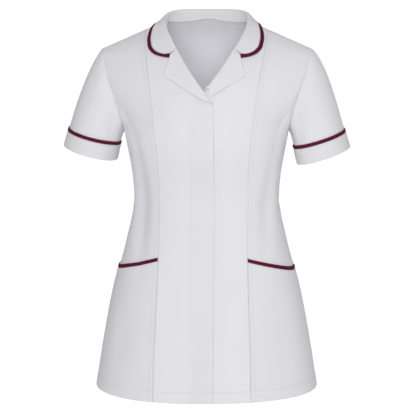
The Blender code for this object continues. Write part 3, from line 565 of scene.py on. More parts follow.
def shell(name, outer, normals, thickness, surface, coords, rims=(RIM,) * 4, ring=False, fields=None):
    """Thin closed cloth shell between a grid of outer points and the same points moved in, with rounded
    edges. coords is the cloth's own place of every point in metres, fields are other values of each."""
    inner = outer - normals * np.asarray(thickness)[..., None]
    rows, columns = outer.shape[:2]
    count = rows * columns
    index = np.arange(count).reshape(rows, columns)
    if ring:
        index = np.concatenate([index, index[:, :1]], axis=1)
    corners = [(slice(None, -1), slice(None, -1)), (slice(None, -1), slice(1, None)),
               (slice(1, None), slice(1, None)), (slice(1, None), slice(None, -1))]
    top = np.stack([index[c] for c in corners], axis=-1).reshape(-1, 4)
    top_coords = np.stack([coords[c] for c in corners], axis=2).reshape(-1, 4, 2)
    points, faces, places = [outer.reshape(-1, 3), inner.reshape(-1, 3)], [top, top[:, ::-1] + count], \
        [top_coords, top_coords[:, ::-1]]
    sources = [np.arange(count), np.arange(count)]
    total = 2 * count
    for i, j, size in border_loops(rows, columns, ring, rims):
        inside = outer[np.clip(i, 1, rows - 2), j if ring else np.clip(j, 1, columns - 2)]
        away = outer[i, j] - inside
        away = unit(away - normals[i, j] * (away * normals[i, j]).sum(axis=1, keepdims=True))
        place = coords[i, j]
        following = np.roll(place, -1, axis=0)
        if ring and j[1] > j[0]:
            following = coords[i, j + 1]
        elif ring:
            wrapped = np.where(j == 0, columns, j)
            place, following = coords[i, wrapped], coords[i, wrapped - 1]
        layer = i * columns + j
        for deep, bulge in RIM_STEPS:
            points.append(outer[i, j] * (1 - deep) + inner[i, j] * deep + away * (size * bulge)[:, None])
            sources.append(i * columns + j)
            below = np.arange(total, total + len(i))
            total += len(i)
            faces.append(strip(layer, below))
            places.append(np.stack([following, place, place, following], axis=1))
            layer = below
        faces.append(strip(layer, i * columns + j + count))
        places.append(np.stack([following, place, place, following], axis=1))
    points, faces, places = np.concatenate(points), np.concatenate(faces), np.concatenate(places)
    if signed_volume(points, faces) < 0:
        faces, places = faces[:, ::-1], places[:, ::-1]
    mesh = bpy.data.meshes.new(name)
    mesh.from_pydata(points.tolist(), [], faces.tolist())
    layer = mesh.uv_layers.new(name="cloth")
    layer.data.foreach_set("uv", places.reshape(-1).astype(np.float32))
    sources = np.concatenate(sources)
    for key in FIELDS:
        values = np.broadcast_to((fields or {}).get(key, FAR), (rows, columns))
        stored = mesh.attributes.new(key, "FLOAT", "POINT")
        stored.data.foreach_set("value", values.reshape(-1)[sources].astype(np.float32))
    mesh.shade_smooth()
    mesh.materials.append(surface)
    piece = bpy.data.objects.new(name, mesh)
    bpy.context.scene.collection.objects.link(piece)
    return piece


def strip(upper, lower):
    """Faces between two closed lines of points."""
    return np.stack([np.roll(upper, -1), upper, lower, np.roll(lower, -1)], axis=1)


def signed_volume(points, faces):
    a, b, c, d = (points[faces[:, k]] for k in range(4))
    return ((a * np.cross(b, c)).sum() + (a * np.cross(c, d)).sum()) / 6


def grid_normals(points, ring=False):
    """Normals of a grid of points, rows by columns. With ring the columns close on themselves."""
    rows = np.gradient(points, axis=0)
    if ring:
        columns = np.roll(points, -1, axis=1) - np.roll(points, 1, axis=1)
    else:
        columns = np.gradient(points, axis=1)
    return unit(np.cross(columns, rows))


def spread(length, pitch_count, marks=EDGE_MARKS):
    """Distances across each length, close together at both ends."""
    length = np.atleast_1d(length)[:, None]
    marks = np.asarray(marks)[None]
    middle = np.linspace(0, 1, pitch_count + 2)[None, 1:-1]
    first = np.broadcast_to(marks, (len(length), marks.shape[1]))
    inside = marks[:, -1:] + (length - 2 * marks[:, -1:]) * middle
    return np.concatenate([first, inside, length - first[:, ::-1]], axis=1)


def grid_coords(points, ring=False):
    """The cloth's own place of every point: the distance across from the first column and up from the first
    row, both averaged over the grid so that the weave runs straight."""
    wrapped = np.concatenate([points, points[:, :1]], axis=1) if ring else points
    across = np.cumsum(np.linalg.norm(np.diff(wrapped, axis=1), axis=2), axis=1)
    across = np.concatenate([np.zeros((len(points), 1)), across], axis=1)
    up = np.cumsum(np.linalg.norm(np.diff(wrapped, axis=0), axis=2).mean(axis=1))
    up = np.concatenate([[0.0], up])
    return np.stack([across - across[:, -1:] / 2, np.broadcast_to(up[:, None], across.shape)], axis=2)


# Body panels. A panel is a grid of shares and levels on the torso.

PRINCESS_PULL = {-1: 0.7, 1: 0.25}     # how hard the princess seams draw the cloth in
END_PULL = 0.4             # and the side seams and armholes
PRINCESS_SOFT = {-1: 0.0004, 1: 0.0011}   # distances added beside a seam, here and in ARM_SOFT, which make its painted shade fainter
ARM_SOFT = 0.0013
LAP_SHADE = 0.0012         # width of the strip of painted shade on the left front, beside the right one's edge
LAP_SHADE_FADE = 0.8       # how fast the painted shade fades past it
PLACKET_EDGE = 0.0235      # stitch line of the fly on the right front, measured from the centre
PLACKET_RISE = 0.0005      # how much the fly's extra layers lift the cloth
PLACKET_ROLL = 0.0008      # how much its free edge stands up, and over what distance
PLACKET_ROLL_REACH = 0.005
BREAK_DROP = 0.004         # height from the roll line's second point down to the break of the lapels
BREAK = float(level_at(-HALF_LAP, ROLL_LINE[1].z - BREAK_DROP))


def front_sink(side, x):
    """How far the left front is sunk where the right front lies on it."""
    if side < 0:
        return np.zeros(np.shape(x))
    return LAP_SINK * (1 - smooth_step(HALF_LAP + LAP_FADE[0], HALF_LAP + LAP_FADE[1], x))


def front_edge_x(side, level):
    """Inner edge of a front: its straight edge, then the neck edge under the roll line."""
    lap = HALF_LAP if side < 0 else HALF_UNDERLAP
    mid_z = hermite(LEVELS, INNER[:, 1], level)
    x = np.zeros(np.shape(level))
    for _ in range(12):
        z = torso(share_at(x, level), level)[..., 2]
        x = drawn_over(side, roll_x(np.minimum(z, ROLL_LINE[-1].z)) + FOLD_REACH, z)
    return np.where(mid_z < ROLL_LINE[0].z, -lap, np.maximum(x, -lap))


def on_front(side, x, z, height=0.0):
    """Point of a front at x and z, moved out by height. x counts towards the front's own side."""
    level = level_at(x, z)
    share = share_at(x, level) * side
    height = np.asarray(height) - front_sink(side, x) + torso_relief(share, level)
    return torso(share, level) + torso_normal(share, level) * height[..., None]


def placket_relief(side, x, level):
    """The fly's layers lift the right front between its edge and the fly's stitch line."""
    if side > 0:
        return np.zeros(np.shape(x))
    low = 1 - smooth_step(BREAK - 0.040, BREAK - 0.012, level)
    lift = PLACKET_RISE * (1 - smooth_step(PLACKET_EDGE - 0.0022, PLACKET_EDGE, x))
    groove = -0.00028 * np.exp(-((x - PLACKET_EDGE) / 0.0011) ** 2)
    roll = PLACKET_ROLL * np.exp(-((x + HALF_LAP) / PLACKET_ROLL_REACH) ** 2)
    return (lift + groove + roll) * low


def hem_relief(distance, along, seed):
    """The hem's turned-up layers end in a faint ridge, and the folded edge is a little wavy."""
    ridge = 0.00030 * (1 - smooth_step(HEM_DEPTH - 0.002, HEM_DEPTH + 0.001, distance))
    return ridge + 0.7 * pucker(np.abs(distance - HEM_DEPTH), along, seed)


def panel(name, share, level, height, surface, fields, rims, wall=BODY_WALL):
    """Shell of a body panel at a grid of shares and levels, with its own height over the torso."""
    normals = torso_normal(share, level)
    outer = torso(share, level) + normals * (torso_relief(share, level) + height)[..., None]
    return shell(name, outer, normals, np.full(share.shape, wall), surface, grid_coords(outer), rims,
                 fields=fields)


def nearest(first, second, third):
    """The smallest of three distances."""
    return np.minimum(np.minimum(first, second), third)


def body_levels(top, count):
    return spread(np.array([top - FRONT_HEM]), count)[0] + FRONT_HEM


def centre_front_grid(side):
    """Shares and levels of a centre front, with each point's distance from the princess seam."""
    level = body_levels(SHOULDER - SEAM / 2, 196)
    start = share_at(front_edge_x(side, level), level) * row_length(level)
    end = share_at(princess_x(level) - SEAM / 2, level) * row_length(level)
    across = spread(end - start, 26)
    share = (start[:, None] + across) / row_length(level)[:, None]
    return share, np.broadcast_to(level[:, None], share.shape), (end - start)[:, None] - across, across


def centre_front(name, side, surface):
    share, level, from_princess, from_edge = centre_front_grid(side)
    x = torso(share, level)[..., 0]
    seed = 11 if side < 0 else 12
    height = (placket_relief(side, x, level) - front_sink(side, x)
              + seam_draw(from_princess, level, seed, PRINCESS_PULL[side])
              + seam_draw(SHOULDER - level, x, seed + 20) + hem_relief(level - FRONT_HEM, x, seed + 40))
    # Painted shade on the left front, in a strip beside the edge of the right front that laps over it: the
    # distance that darkens it
    lap_shade_distance = FAR
    if side > 0:
        lap_shade_distance = np.where(level < BREAK, np.maximum(x - HALF_LAP - LAP_SHADE, 0) * LAP_SHADE_FADE, FAR)
    fields = {
        "stitch_a": np.where(level < BREAK, x - PLACKET_EDGE, 1.0) if side < 0 else np.ones(share.shape),
        "stitch_c": level - FRONT_HEM - HEM_DEPTH,
        # seam: distance for the painted shade beside the princess seam, the shoulder seam and, on the left
        # front, the lapped edge
        "seam": nearest(from_princess + PRINCESS_SOFT[side], SHOULDER - level + ARM_SOFT, lap_shade_distance),
        "edge": np.minimum(from_edge, level - FRONT_HEM),
    }
    return panel(name, share * side, level, height, surface, fields, (ROUND_RIM, RIM, RIM, ROUND_RIM))


def side_start(level):
    """Distance round the body at which a side front starts, and at which it ends."""
    start = share_at(princess_x(level) + SEAM / 2, level) * row_length(level)
    return start, row_length(level) - SEAM / 2


def side_front(name, side, surface):
    level = body_levels(SHOULDER - SEAM / 2, 196)
    start, end = side_start(level)
    across = spread(end - start, 26)
    share = (start[:, None] + across) / row_length(level)[:, None]
    level = np.broadcast_to(level[:, None], share.shape)
    from_princess, from_end = across, (end - start)[:, None] - across
    seed = 13 if side < 0 else 14
    x = torso(share, level)[..., 0]
    height = (seam_draw(from_princess, level, seed, PRINCESS_PULL[side])
              + seam_draw(from_end, level, seed + 20, END_PULL)
              + seam_draw(SHOULDER - level, x, seed + 40) + hem_relief(level - FRONT_HEM, x, seed + 60)
              + body_dip(from_end, level))
    fields = {
        "stitch_a": from_princess - TWIN_NEAR,
        "stitch_b": from_princess - TWIN_FAR,
        "stitch_c": np.where(level > FRONT_UNDERARM, from_end - ARM_STITCH, FAR),
        # seam: distance for the painted shade beside the princess seam, the side seam and armhole, and the
        # shoulder seam
        "seam": nearest(from_princess + PRINCESS_SOFT[side], from_end + ARM_SOFT,
                        SHOULDER - level + ARM_SOFT),
        "edge": level - FRONT_HEM,
    }
    return panel(name, share * side, level, height, surface, fields, (ROUND_RIM, RIM, RIM, RIM))


TWIN_NEAR = 0.0015         # the two stitch lines beside a princess seam, on the side front
TWIN_FAR = 0.0075
ARM_STITCH = 0.0050        # the stitch line round the armhole, on the body


def neck_curve():
    """Share and level of the back neck seam, from the centre to its corner at the shoulder."""
    x = NECK_HALF_WIDTH * np.sin(np.linspace(0, math.pi / 2, 61))
    reach = np.sqrt(np.maximum(1 - (x / NECK_HALF_WIDTH) ** 2, 0.0))
    y = SHOULDER_Y + (BACK_NECK_Y - SHOULDER_Y) * reach
    level = level_where(lambda at: torso(share_at(x, at), at)[..., 1] >= y,
                        SHOULDER, LEVELS[NAMES.index("back upper")], x.shape)
    level = np.maximum(level, SHOULDER + SEAM / 2)
    return share_at(x, level), level


NECK_SHARES, NECK_LEVELS = neck_curve()


def back_grid():
    """Shares and levels of the back. Its columns are fixed shares, but for those beside the side seams."""
    corner = NECK_SHARES[-1]
    half = np.concatenate([np.linspace(0, corner, 30, endpoint=False),
                           np.linspace(corner, 1, 26, endpoint=False)])
    half = np.concatenate([-half[:0:-1], half])
    top = np.interp(np.abs(half), NECK_SHARES, NECK_LEVELS)
    top = np.where(np.abs(half) >= corner, SHOULDER + SEAM / 2, top)
    marks = np.asarray(EDGE_MARKS)[::-1]
    low = np.full(len(marks), SHOULDER + SEAM / 2)
    top = np.concatenate([low, top, low])
    along = spread(BACK_HEM - top, 150).T
    level = top[None] + along
    length = row_length(level)
    limit = 1 - (SEAM / 2 + marks[0]) / length[:, :1]
    side = 1 - (SEAM / 2 + marks[None]) / length[:, :1]
    middle = half[None] * np.ones_like(limit)
    middle = np.clip(middle, -limit + 0.002, limit - 0.002)
    share = np.concatenate([-side[:, ::-1], middle, side], axis=1)
    return share, level, along


def back(surface):
    share, level, from_top = back_grid()
    x = torso(share, level)[..., 0]
    from_side = (1 - np.abs(share)) * row_length(level)
    height = (seam_draw(from_side, level, 15, 0.4) + seam_draw(from_top, x, 16)
              + hem_relief(BACK_HEM - level, x, 17) + body_dip(from_side, level))
    fields = {
        "stitch_a": np.where(level < BACK_UNDERARM, from_side - ARM_STITCH, FAR),
        "stitch_c": BACK_HEM - level - HEM_DEPTH,
        # seam: distance for the painted shade beside the side seams and armholes, the shoulders and the back
        # neck
        "seam": np.minimum(from_side + ARM_SOFT, from_top),
        "edge": BACK_HEM - level,
    }
    return panel("back", share, level, height, surface, fields, (RIM, RIM, ROUND_RIM, RIM))


# Pockets and their piping, on the side fronts


def side_share(across, level):
    """Share of a row at a share of the way across the side front."""
    start, end = side_start(level)
    return (start + (end - start) * across) / row_length(level)


def pocket_level(across, below):
    """Level on the pocket at a depth below its mouth, at a share of the way across the side front."""
    mouth_x = [p.x for p in POCKET_MOUTH]
    mouth_z = [p.z for p in POCKET_MOUTH]

    def above(level):
        point = torso(side_share(across, level), level)
        return point[..., 2] + below >= hermite(mouth_x, mouth_z, point[..., 0])

    return level_where(above, FRONT_HEM, WAIST, np.shape(across))


POCKET_LIFT = BAND_WALL + SEAM
MOUTH_GAPE = 0.0012        # how far the middle of the mouth stands off the side front


def pocket_height(across, from_mouth):
    """Height of a pocket over the side front's outer surface."""
    gape = MOUTH_GAPE * np.sin(math.pi * across) * (1 - smooth_step(0, 0.060, from_mouth))
    return POCKET_LIFT + gape


def pocket(tag, side, cloth, contrast):
    width = 0.105
    across = spread(np.array([width]), 26)[0] / width
    seam = pocket_level(across, PIPING) - SEAM
    mouth = pocket_level(across, 0.0)
    along = spread(seam - FRONT_HEM, 66).T
    level = FRONT_HEM + along
    share = side_share(np.broadcast_to(across, level.shape), level)
    start, end = side_start(level)
    from_princess, from_side = (end - start) * across, (end - start) * (1 - across)
    from_mouth = mouth - level
    seed = 31 if side < 0 else 32
    x = torso(share, level)[..., 0]
    height = (pocket_height(across, from_mouth) + seam_draw(from_princess, level, seed)
              + seam_draw(from_side, level, seed + 20) + seam_draw(seam - level, x, seed + 40)
              + hem_relief(level - FRONT_HEM, x, seed + 60))
    fields = {
        "stitch_a": from_princess - TWIN_NEAR,
        "stitch_b": from_princess - TWIN_FAR,
        "stitch_c": level - FRONT_HEM - HEM_DEPTH,
        # seam: distance for the painted shade beside the pocket's princess and side seams
        "seam": np.minimum(from_princess, from_side),
        "edge": level - FRONT_HEM,
    }
    pieces = [panel(f"pocket_{tag}", share * side, level, height, cloth, fields,
                    (ROUND_RIM, RIM, RIM, RIM), BAND_WALL)]
    v = np.array([0.0, 0.08, 0.22, 0.36, 0.5, 0.64, 0.78, 0.92, 1.0])[:, None]
    level = seam + SEAM + (mouth - seam - SEAM) * v
    share = side_share(np.broadcast_to(across, level.shape), level)
    height = pocket_height(across, mouth - level) + piping_crown(v)
    fields = {"stitch_a": (v - 0.5) * PIPING * np.ones(level.shape)}
    pieces.append(panel(f"pocket_trim_{tag}", share * side, level, height, contrast, fields,
                        (RIM, RIM, ROUND_RIM, RIM), BAND_WALL))
    return pieces


def piping_crown(v):
    """Height of the piping across its width."""
    return 0.0007 * np.sqrt(np.maximum(1 - (2 * v - 1) ** 2, 0.0))


# Sleeves, cuffs and their piping

RINGS_ROUND = 132


def armhole_level(turn):
    return np.where(turn <= 0.5, FRONT_UNDERARM + (SHOULDER - FRONT_UNDERARM) * turn * 2,
                    SHOULDER + (BACK_UNDERARM - SHOULDER) * (turn * 2 - 1))


def armhole(turn):
    """Point of the armhole and the way off the body there. turn runs 0 to 1: underarm, front, shoulder,
    back."""
    level = armhole_level(turn)
    centre = (torso(1, SHOULDER) + torso(1, FRONT_UNDERARM)) / 2
    point = torso(1, level)
    normal = torso_normal(EDGE_SHARE, level)
    above = np.minimum(level + LEVEL_STEP, BACK_UNDERARM)
    along = torso(1, above) - torso(1, np.maximum(level - LEVEL_STEP, FRONT_UNDERARM))
    off = np.cross(normal, unit(along))
    facing = (off * (centre + ARM_SIDE - point)).sum(axis=-1, keepdims=True)
    off = np.where(facing < 0, -off, off)
    return point + off * HEAD_GAP + normal * HEAD_RISE


def sleeve_points(turn, down, cut):
    """Points of a sleeve at turns about its axis and shares of its length from armhole to cuff."""
    angle = (2 * math.pi * turn)[..., None]
    tilt = math.radians(cut.tilt)
    axis = unit(np.array([math.sin(tilt), math.sin(SLEEVE_LEAN), -math.cos(tilt)]))
    across = np.array([math.cos(tilt), 0, math.sin(tilt)])
    forward = np.cross(across, axis)
    forward *= -math.copysign(1, forward[1])
    start = armhole(turn)
    end = (np.array([cut.cuff_x, CUFF_Y, cut.cuff_z]) - across * CUFF_HALF_WIDTH * np.cos(angle)
           + forward * CUFF_HALF_DEPTH * np.sin(angle))
    length = np.linalg.norm(end - start, axis=-1, keepdims=True)
    top = (1 - np.cos(angle)) / 2
    out, to_front, fall = SLEEVE_OUT
    outward = unit(np.concatenate([out + cut.puff * top, to_front * np.sin(angle), fall + SLEEVE_DROP * top],
                                  axis=-1))
    s = down[..., None]
    return ((2 * s**3 - 3 * s**2 + 1) * start + (s**3 - 2 * s**2 + s) * length * SLEEVE_FULL * outward
            + (3 * s**2 - 2 * s**3) * end + (s**3 - s**2) * length * axis)


def sleeve_relief(tag, turn, down, length):
    """Height of a sleeve's creases. They are placed by turn and by distance down the sleeve."""
    height = np.zeros(np.broadcast(turn, down).shape)
    for f in FOLDS:
        if f.tag != tag:
            continue
        around = ((turn - f.turn0 + 0.5) % 1 - 0.5) * 0.36
        end = ((f.turn1 - f.turn0 + 0.5) % 1 - 0.5) * 0.36
        run = np.array([end, (f.down1 - f.down0) * length.mean()])
        size = np.linalg.norm(run)
        run /= size
        below = (down - f.down0) * length
        along = (around * run[0] + below * run[1]) / size
        aside = around * -run[1] + below * run[0]
        fade = smooth_step(0, 0.3, along) * (1 - smooth_step(0.6, 1, along))
        height += f.depth * fade * np.exp(-(aside / f.width) ** 2)
    return height


class SleeveForm:
    """Where a sleeve's cloth lies at turns and shares of its length, with its creases."""

    def __init__(self, cut):
        self.cut = cut
        self.turn = np.arange(RINGS_ROUND) / RINGS_ROUND
        steps = np.linspace(0, 1, 41)
        turn, down = np.meshgrid(self.turn, steps)
        line = sleeve_points(turn, down, cut)
        self.length = np.linalg.norm(np.diff(line, axis=0), axis=2).sum(axis=0)

    def ring_grid(self, from_head):
        """Points and normals at distances from the head of the sleeve, rows by turns."""
        down = from_head / self.length
        turn = np.broadcast_to(self.turn, down.shape)
        points = sleeve_points(turn, down, self.cut)
        fine = grid_normals(points, ring=True)
        middle = points.mean(axis=1, keepdims=True)
        if ((points - middle) * fine).sum() < 0:
            fine = -fine
        fade = 1 - 0.75 * smooth_step(0.55, 0.95, down)
        height = sleeve_relief(self.cut.tag, turn, down, self.length) * fade
        return points, fine, height

    def placed(self, from_head, extra):
        points, normals, height = self.ring_grid(from_head)
        points = (points + normals * (height + extra)[..., None]) * [self.cut.side, 1, 1]
        return points, normals * [self.cut.side, 1, 1]


def sleeve(cut, cloth, contrast):
    form = SleeveForm(cut)
    seed = 51 if cut.side < 0 else 52
    around = form.turn * 0.40
    from_head = spread(form.length + HEAD_TUCK, 60).T - HEAD_TUCK
    head = seam_draw(from_head, around, seed, 0.2) + 1.2 * pucker(from_head * 0.5, around, seed + 20)
    sunk = HEAD_SINK * (1 - smooth_step(-HEAD_TUCK, 0.0016, from_head))
    dip = arm_dip(2 * np.minimum(form.turn, 1 - form.turn))
    sunk = sunk + dip * np.exp(-(from_head / ARM_DIP_SLEEVE) ** 2)
    underarm = np.minimum(form.turn, 1 - form.turn) * 0.36
    join = -0.0005 * np.exp(-(underarm / 0.0016) ** 2) + pucker(underarm, from_head, seed + 40)
    from_pipe = form.length - CUFF_DEPTH - PIPING - from_head
    tuck = -0.0003 * np.exp(-(from_pipe / 0.0015) ** 2)
    points, normals = form.placed(from_head, head + join * np.clip(from_head / 0.02, 0, 1) + tuck)
    points -= torso_normal(EDGE_SHARE, armhole_level(form.turn)) * [cut.side, 1, 1] * sunk[..., None]
    # seam: distance for the painted shade beside the sleeve's head and its underarm seam
    fields = {"seam": np.minimum(from_head + ARM_SOFT, np.broadcast_to(underarm, from_head.shape) + 0.0005),
              "edge": form.length - from_head}
    body = shell(f"sleeve_{cut.tag}", points, normals, np.full(from_head.shape, BODY_WALL), cloth,
                 grid_coords(points, ring=True), (RIM, RIM, ROUND_RIM, RIM), ring=True, fields=fields)
    lift = BAND_WALL + SEAM
    depth = spread(np.array([CUFF_DEPTH - SEAM]), 8)[0][:, None]
    below = np.broadcast_to(depth, (len(depth), RINGS_ROUND))
    from_head = form.length - CUFF_DEPTH + SEAM + below
    from_edge = CUFF_DEPTH - SEAM - below
    stand = 0.0004 * smooth_step(0, CUFF_DEPTH, below) + 1.5 * pucker(from_edge, around, seed + 60)
    roll = -0.0005 * np.exp(-(from_edge / 0.0009) ** 2)
    points, normals = form.placed(from_head, lift + stand + roll + seam_draw(below, around, seed + 80))
    # seam: distance for the painted shade beside the cuff's top seam, under the piping
    fields = {"seam": below, "edge": from_edge, "stitch_a": below - 0.0015}
    cuff = shell(f"cuff_{cut.tag}", points, normals, np.full(below.shape, BAND_WALL), cloth,
                 grid_coords(points, ring=True), (RIM, RIM, ROUND_RIM, RIM), ring=True, fields=fields)
    v = np.array([0.0, 0.08, 0.22, 0.36, 0.5, 0.64, 0.78, 0.92, 1.0])[:, None] * np.ones(RINGS_ROUND)
    from_head = form.length - CUFF_DEPTH - PIPING + PIPING * v
    points, normals = form.placed(from_head, lift + piping_crown(v))
    trim = shell(f"cuff_trim_{cut.tag}", points, normals, np.full(v.shape, BAND_WALL), contrast,
                 grid_coords(points, ring=True), (RIM,) * 4, ring=True,
                 fields={"stitch_a": (v - 0.5) * PIPING})
    return [body, cuff, trim]


# Lapels and collar

# Across a rolled edge: how far each point is from the neck edge, and how high it is
RollPoint = namedtuple("RollPoint", "reach height")
ROLLED_EDGE = [
    RollPoint(-0.0032, -0.0013),
    RollPoint(-0.0037, 0.0012),
    RollPoint(-0.0024, 0.0040),
    RollPoint(0.0018, 0.0053),
]
ROLL_DROP = 0.4            # a point across a rolled edge lies this share of its reach higher on the front
LAPEL_COLUMNS = 6
LAPEL_UNDER = 1.03         # the gorge end of a lapel runs on this far, tucked under the collar
LAPEL_TUCK = 0.0019
LAPEL_CURL = 0.0016        # how much the free edges of a lapel stand off the front, and over what distance
TUCK_FROM = (0.985, 1.005)     # shares of the way to the gorge over which a lapel goes under the collar
COVERED_FROM = (0.90, 0.97)    # and from which its edge no longer curls
EDGE_ROLL = 0.0005             # how far the very edge rolls down, and over what distance
EDGE_ROLL_REACH = 0.0011
LAPEL_CURL_REACH = 0.009


def roll_height(distance):
    """Height of a lapel or of the collar's fall over the front, at a distance from its roll line."""
    return EDGE_HEIGHT + (FOLD_HEIGHT - EDGE_HEIGHT) * (1 - smooth_step(0, FOLD_FADE, distance))


def resampled(section, count, marks=EDGE_MARKS):
    """A section's points again along a smooth curve through them, close together at both ends. The second
    result is how far each is from the section's end."""
    along = chords(section)
    at = spread(np.array([along[-1]]), count, marks)[0]
    return hermite(along, section, at), along[-1] - at


def rolled_edge(side, x, z):
    """Points over the rolled edge beside a neck edge at x and z."""
    drawn = drawn_over(side, x, z)
    return [on_front(side, drawn + p.reach, z + p.reach * ROLL_DROP, p.height) for p in ROLLED_EDGE]


def lapel_grid(cut, rows, columns):
    """Points of a lapel's visible side, and how far each is from its outer edge."""
    w = spread(np.array([LAPEL_UNDER]), rows, np.asarray(EDGE_MARKS) / 0.09)[0]
    start = np.array([float(roll_x(cut.start_z)) + FOLD_REACH + FOLD_INSET, cut.start_z])
    elbow, tip, notch, gorge = (np.array(p) for p in (cut.elbow, LAPEL_TIP, LAPEL_NOTCH, LAPEL_GORGE))
    edge_z = cut.start_z + (gorge[1] - cut.start_z) * w
    edge = np.stack([roll_x(edge_z) + FOLD_REACH, edge_z], axis=1)
    sections = rolled_edge(cut.side, edge[:, 0], edge[:, 1])
    up = w[:, None]
    rim = tip + (notch - tip) * up
    for k in range(1, LAPEL_COLUMNS + 1):
        s = k / LAPEL_COLUMNS
        pull = 2 * s * (1 - s) * cut.pull
        low = ((1 - s) ** 2 * start + pull * elbow + s**2 * tip) / ((1 - s) ** 2 + pull + s**2)
        high = gorge + (notch - gorge) * s
        corners = (1 - up) * ((1 - s) * start + s * tip) + up * ((1 - s) * gorge + s * notch)
        place = (1 - s) * (edge + [FOLD_INSET, 0]) + s * rim + (1 - up) * low + up * high - corners
        distance = np.linalg.norm(place - edge, axis=1)
        x = drawn_over(cut.side, place[:, 0], place[:, 1])
        tuck = LAPEL_TUCK * smooth_step(*TUCK_FROM, w)
        sections.append(on_front(cut.side, x, place[:, 1], roll_height(distance) - tuck))
    sections = np.stack(sections, axis=1)
    rows_of_points, from_rim = zip(*[resampled(section, columns) for section in sections])
    return np.array(rows_of_points), np.array(from_rim)


def lapel(cut, surface):
    points, from_rim = lapel_grid(cut, 44, 30)
    normals = grid_normals(points)
    if normals[len(points) // 2][-8][1] > 0:
        normals = -normals
    lower = np.cumsum(np.linalg.norm(np.diff(points, axis=0), axis=2), axis=0)
    from_low = np.concatenate([np.zeros((1, points.shape[1])), lower])
    from_edge = np.minimum(from_rim, from_low)
    roll = LAPEL_CURL * np.exp(-(from_edge / LAPEL_CURL_REACH) ** 2)
    roll = roll - EDGE_ROLL * np.exp(-(from_edge / EDGE_ROLL_REACH) ** 2)
    under_collar = smooth_step(*COVERED_FROM, np.linspace(0, LAPEL_UNDER, len(points)))[:, None]
    points = points + normals * (roll * (1 - under_collar))[..., None]
    fields = {"edge": from_edge}
    return shell(f"lapel_{cut.tag}", points, normals, np.full(from_rim.shape, FOLD_WALL), surface,
                 grid_coords(points), (ROUND_RIM, ROUND_RIM, RIM, RIM), fields=fields)


# The collar's fall in front of the shoulder: share of the way from the fold to the outer edge, and height
FALL = ((0.30, 0.0054), (0.70, 0.0050), (1.0, EDGE_HEIGHT))
FALL_BOW = 0.0020          # how far it bows out behind the shoulder
FOLD_TURN = 0.0045         # thickness of the fold behind the shoulder
FOLD_FALL = 0.0012         # and how much lower its outside is
STAND_GAP = 0.0034         # from the neck seam in to the foot of the stand


def front_section(side, station):
    """Points of the collar's visible side at a station in front of the shoulder."""
    edge = np.array([float(roll_x(station.fold_z)) + FOLD_REACH, station.fold_z])
    start = edge + [FOLD_INSET, 0]
    outer = np.array([station.outer_x, station.outer_z])
    places = [start + (outer - start) * share for share, _ in FALL]
    if station.seam_x is not None:
        seam = np.array([station.seam_x, station.seam_z])
        places = [start + (seam - start) * 0.5, seam, outer]
    line = rolled_edge(side, *edge)
    for (x, z), (_, height) in zip(places, FALL):
        line.append(on_front(side, drawn_over(side, x, z), z, height))
    return line


def back_section(side, station):
    """Points of the collar's visible side at a station behind the shoulder: stand, fold and fall."""
    fold_x = float(drawn_over(side, station.fold_x, station.fold_z))
    level = float(np.interp(fold_x, torso(NECK_SHARES, NECK_LEVELS)[:, 0], NECK_LEVELS))
    edge = torso(share_at(fold_x, level), level)
    fold = np.array([fold_x, station.fold_y, station.fold_z])
    out = unit(np.array([fold_x, station.fold_y - SHOULDER_Y, 0.0]))
    start = edge - out * STAND_GAP - [0, 0, FOLD_FALL]
    outer_level = back_level_at(station.outer_x, station.outer_z)
    share = share_at(station.outer_x, outer_level)
    outer = torso(share, outer_level) + torso_normal(share, outer_level) * EDGE_HEIGHT
    shoulder_of_fold = fold + out * FOLD_TURN - [0, 0, FOLD_FALL]
    line = [start, (start + fold) / 2, fold, shoulder_of_fold]
    for share, _ in FALL:
        bow = out * FALL_BOW * 4 * share * (1 - share)
        line.append(shoulder_of_fold + (outer - shoulder_of_fold) * share + bow)
    return [point * [side, 1, 1] for point in line]


def collar_sections(rows):
    """Sections of the collar's visible side, evenly from the right gorge to the left one."""
    right, left = ([front_section(side, s) if s.fold_y is None else back_section(side, s) for s in COLLAR]
                   for side in (-1, 1))
    whole = np.array(right[:0:-1] + left)
    knots = chords(whole[:, 2])
    at = spread(np.array([knots[-1]]), rows)[0]
    return hermite(knots, whole.reshape(len(whole), -1), at).reshape(len(at), -1, 3)


def collar(cloth, contrast):
    """Collar in one piece from gorge to gorge, and the piping along its outer edge."""
    body, band, from_seam = [], [], []
    v = np.array([0.0, 0.08, 0.22, 0.36, 0.5, 0.64, 0.78, 0.92, 1.0])
    for section in collar_sections(190):
        along = chords(section)
        cut = along[-1] - COLLAR_PIPING
        at = spread(np.array([cut - 2 * SEAM]), 22)[0]
        body.append(hermite(along, section, at))
        band.append(hermite(along, section, cut + COLLAR_PIPING * v))
        from_seam.append(at[-1] - at)
    body, band, from_seam = np.array(body), np.array(band), np.array(from_seam)
    normals = grid_normals(np.concatenate([body, band], axis=1))
    if normals[len(body) // 2][-4][1] < 0:
        normals = -normals
    body_normals, band_normals = normals[:, :body.shape[1]], normals[:, body.shape[1]:]
    draw = seam_draw(from_seam, chords(body[:, -1])[:, None], 71)
    body = body + body_normals * draw[..., None]
    band = band + band_normals * piping_crown(v)[None, :, None]
    # seam: distance for the painted shade beside the collar's seam to its piping
    fields = {"seam": from_seam, "stitch_a": from_seam - 0.0015}
    pieces = [shell("collar", body, body_normals, np.full(from_seam.shape, FOLD_WALL), cloth,
                    grid_coords(body), (RIM,) * 4, fields=fields)]
    middle = np.broadcast_to((v - 0.5) * COLLAR_PIPING, band.shape[:2])
    pieces.append(shell("collar_trim", band, band_normals, np.full(middle.shape, FOLD_WALL), contrast,
                        grid_coords(band), (RIM, ROUND_RIM, RIM, RIM), fields={"stitch_a": middle}))
    return pieces


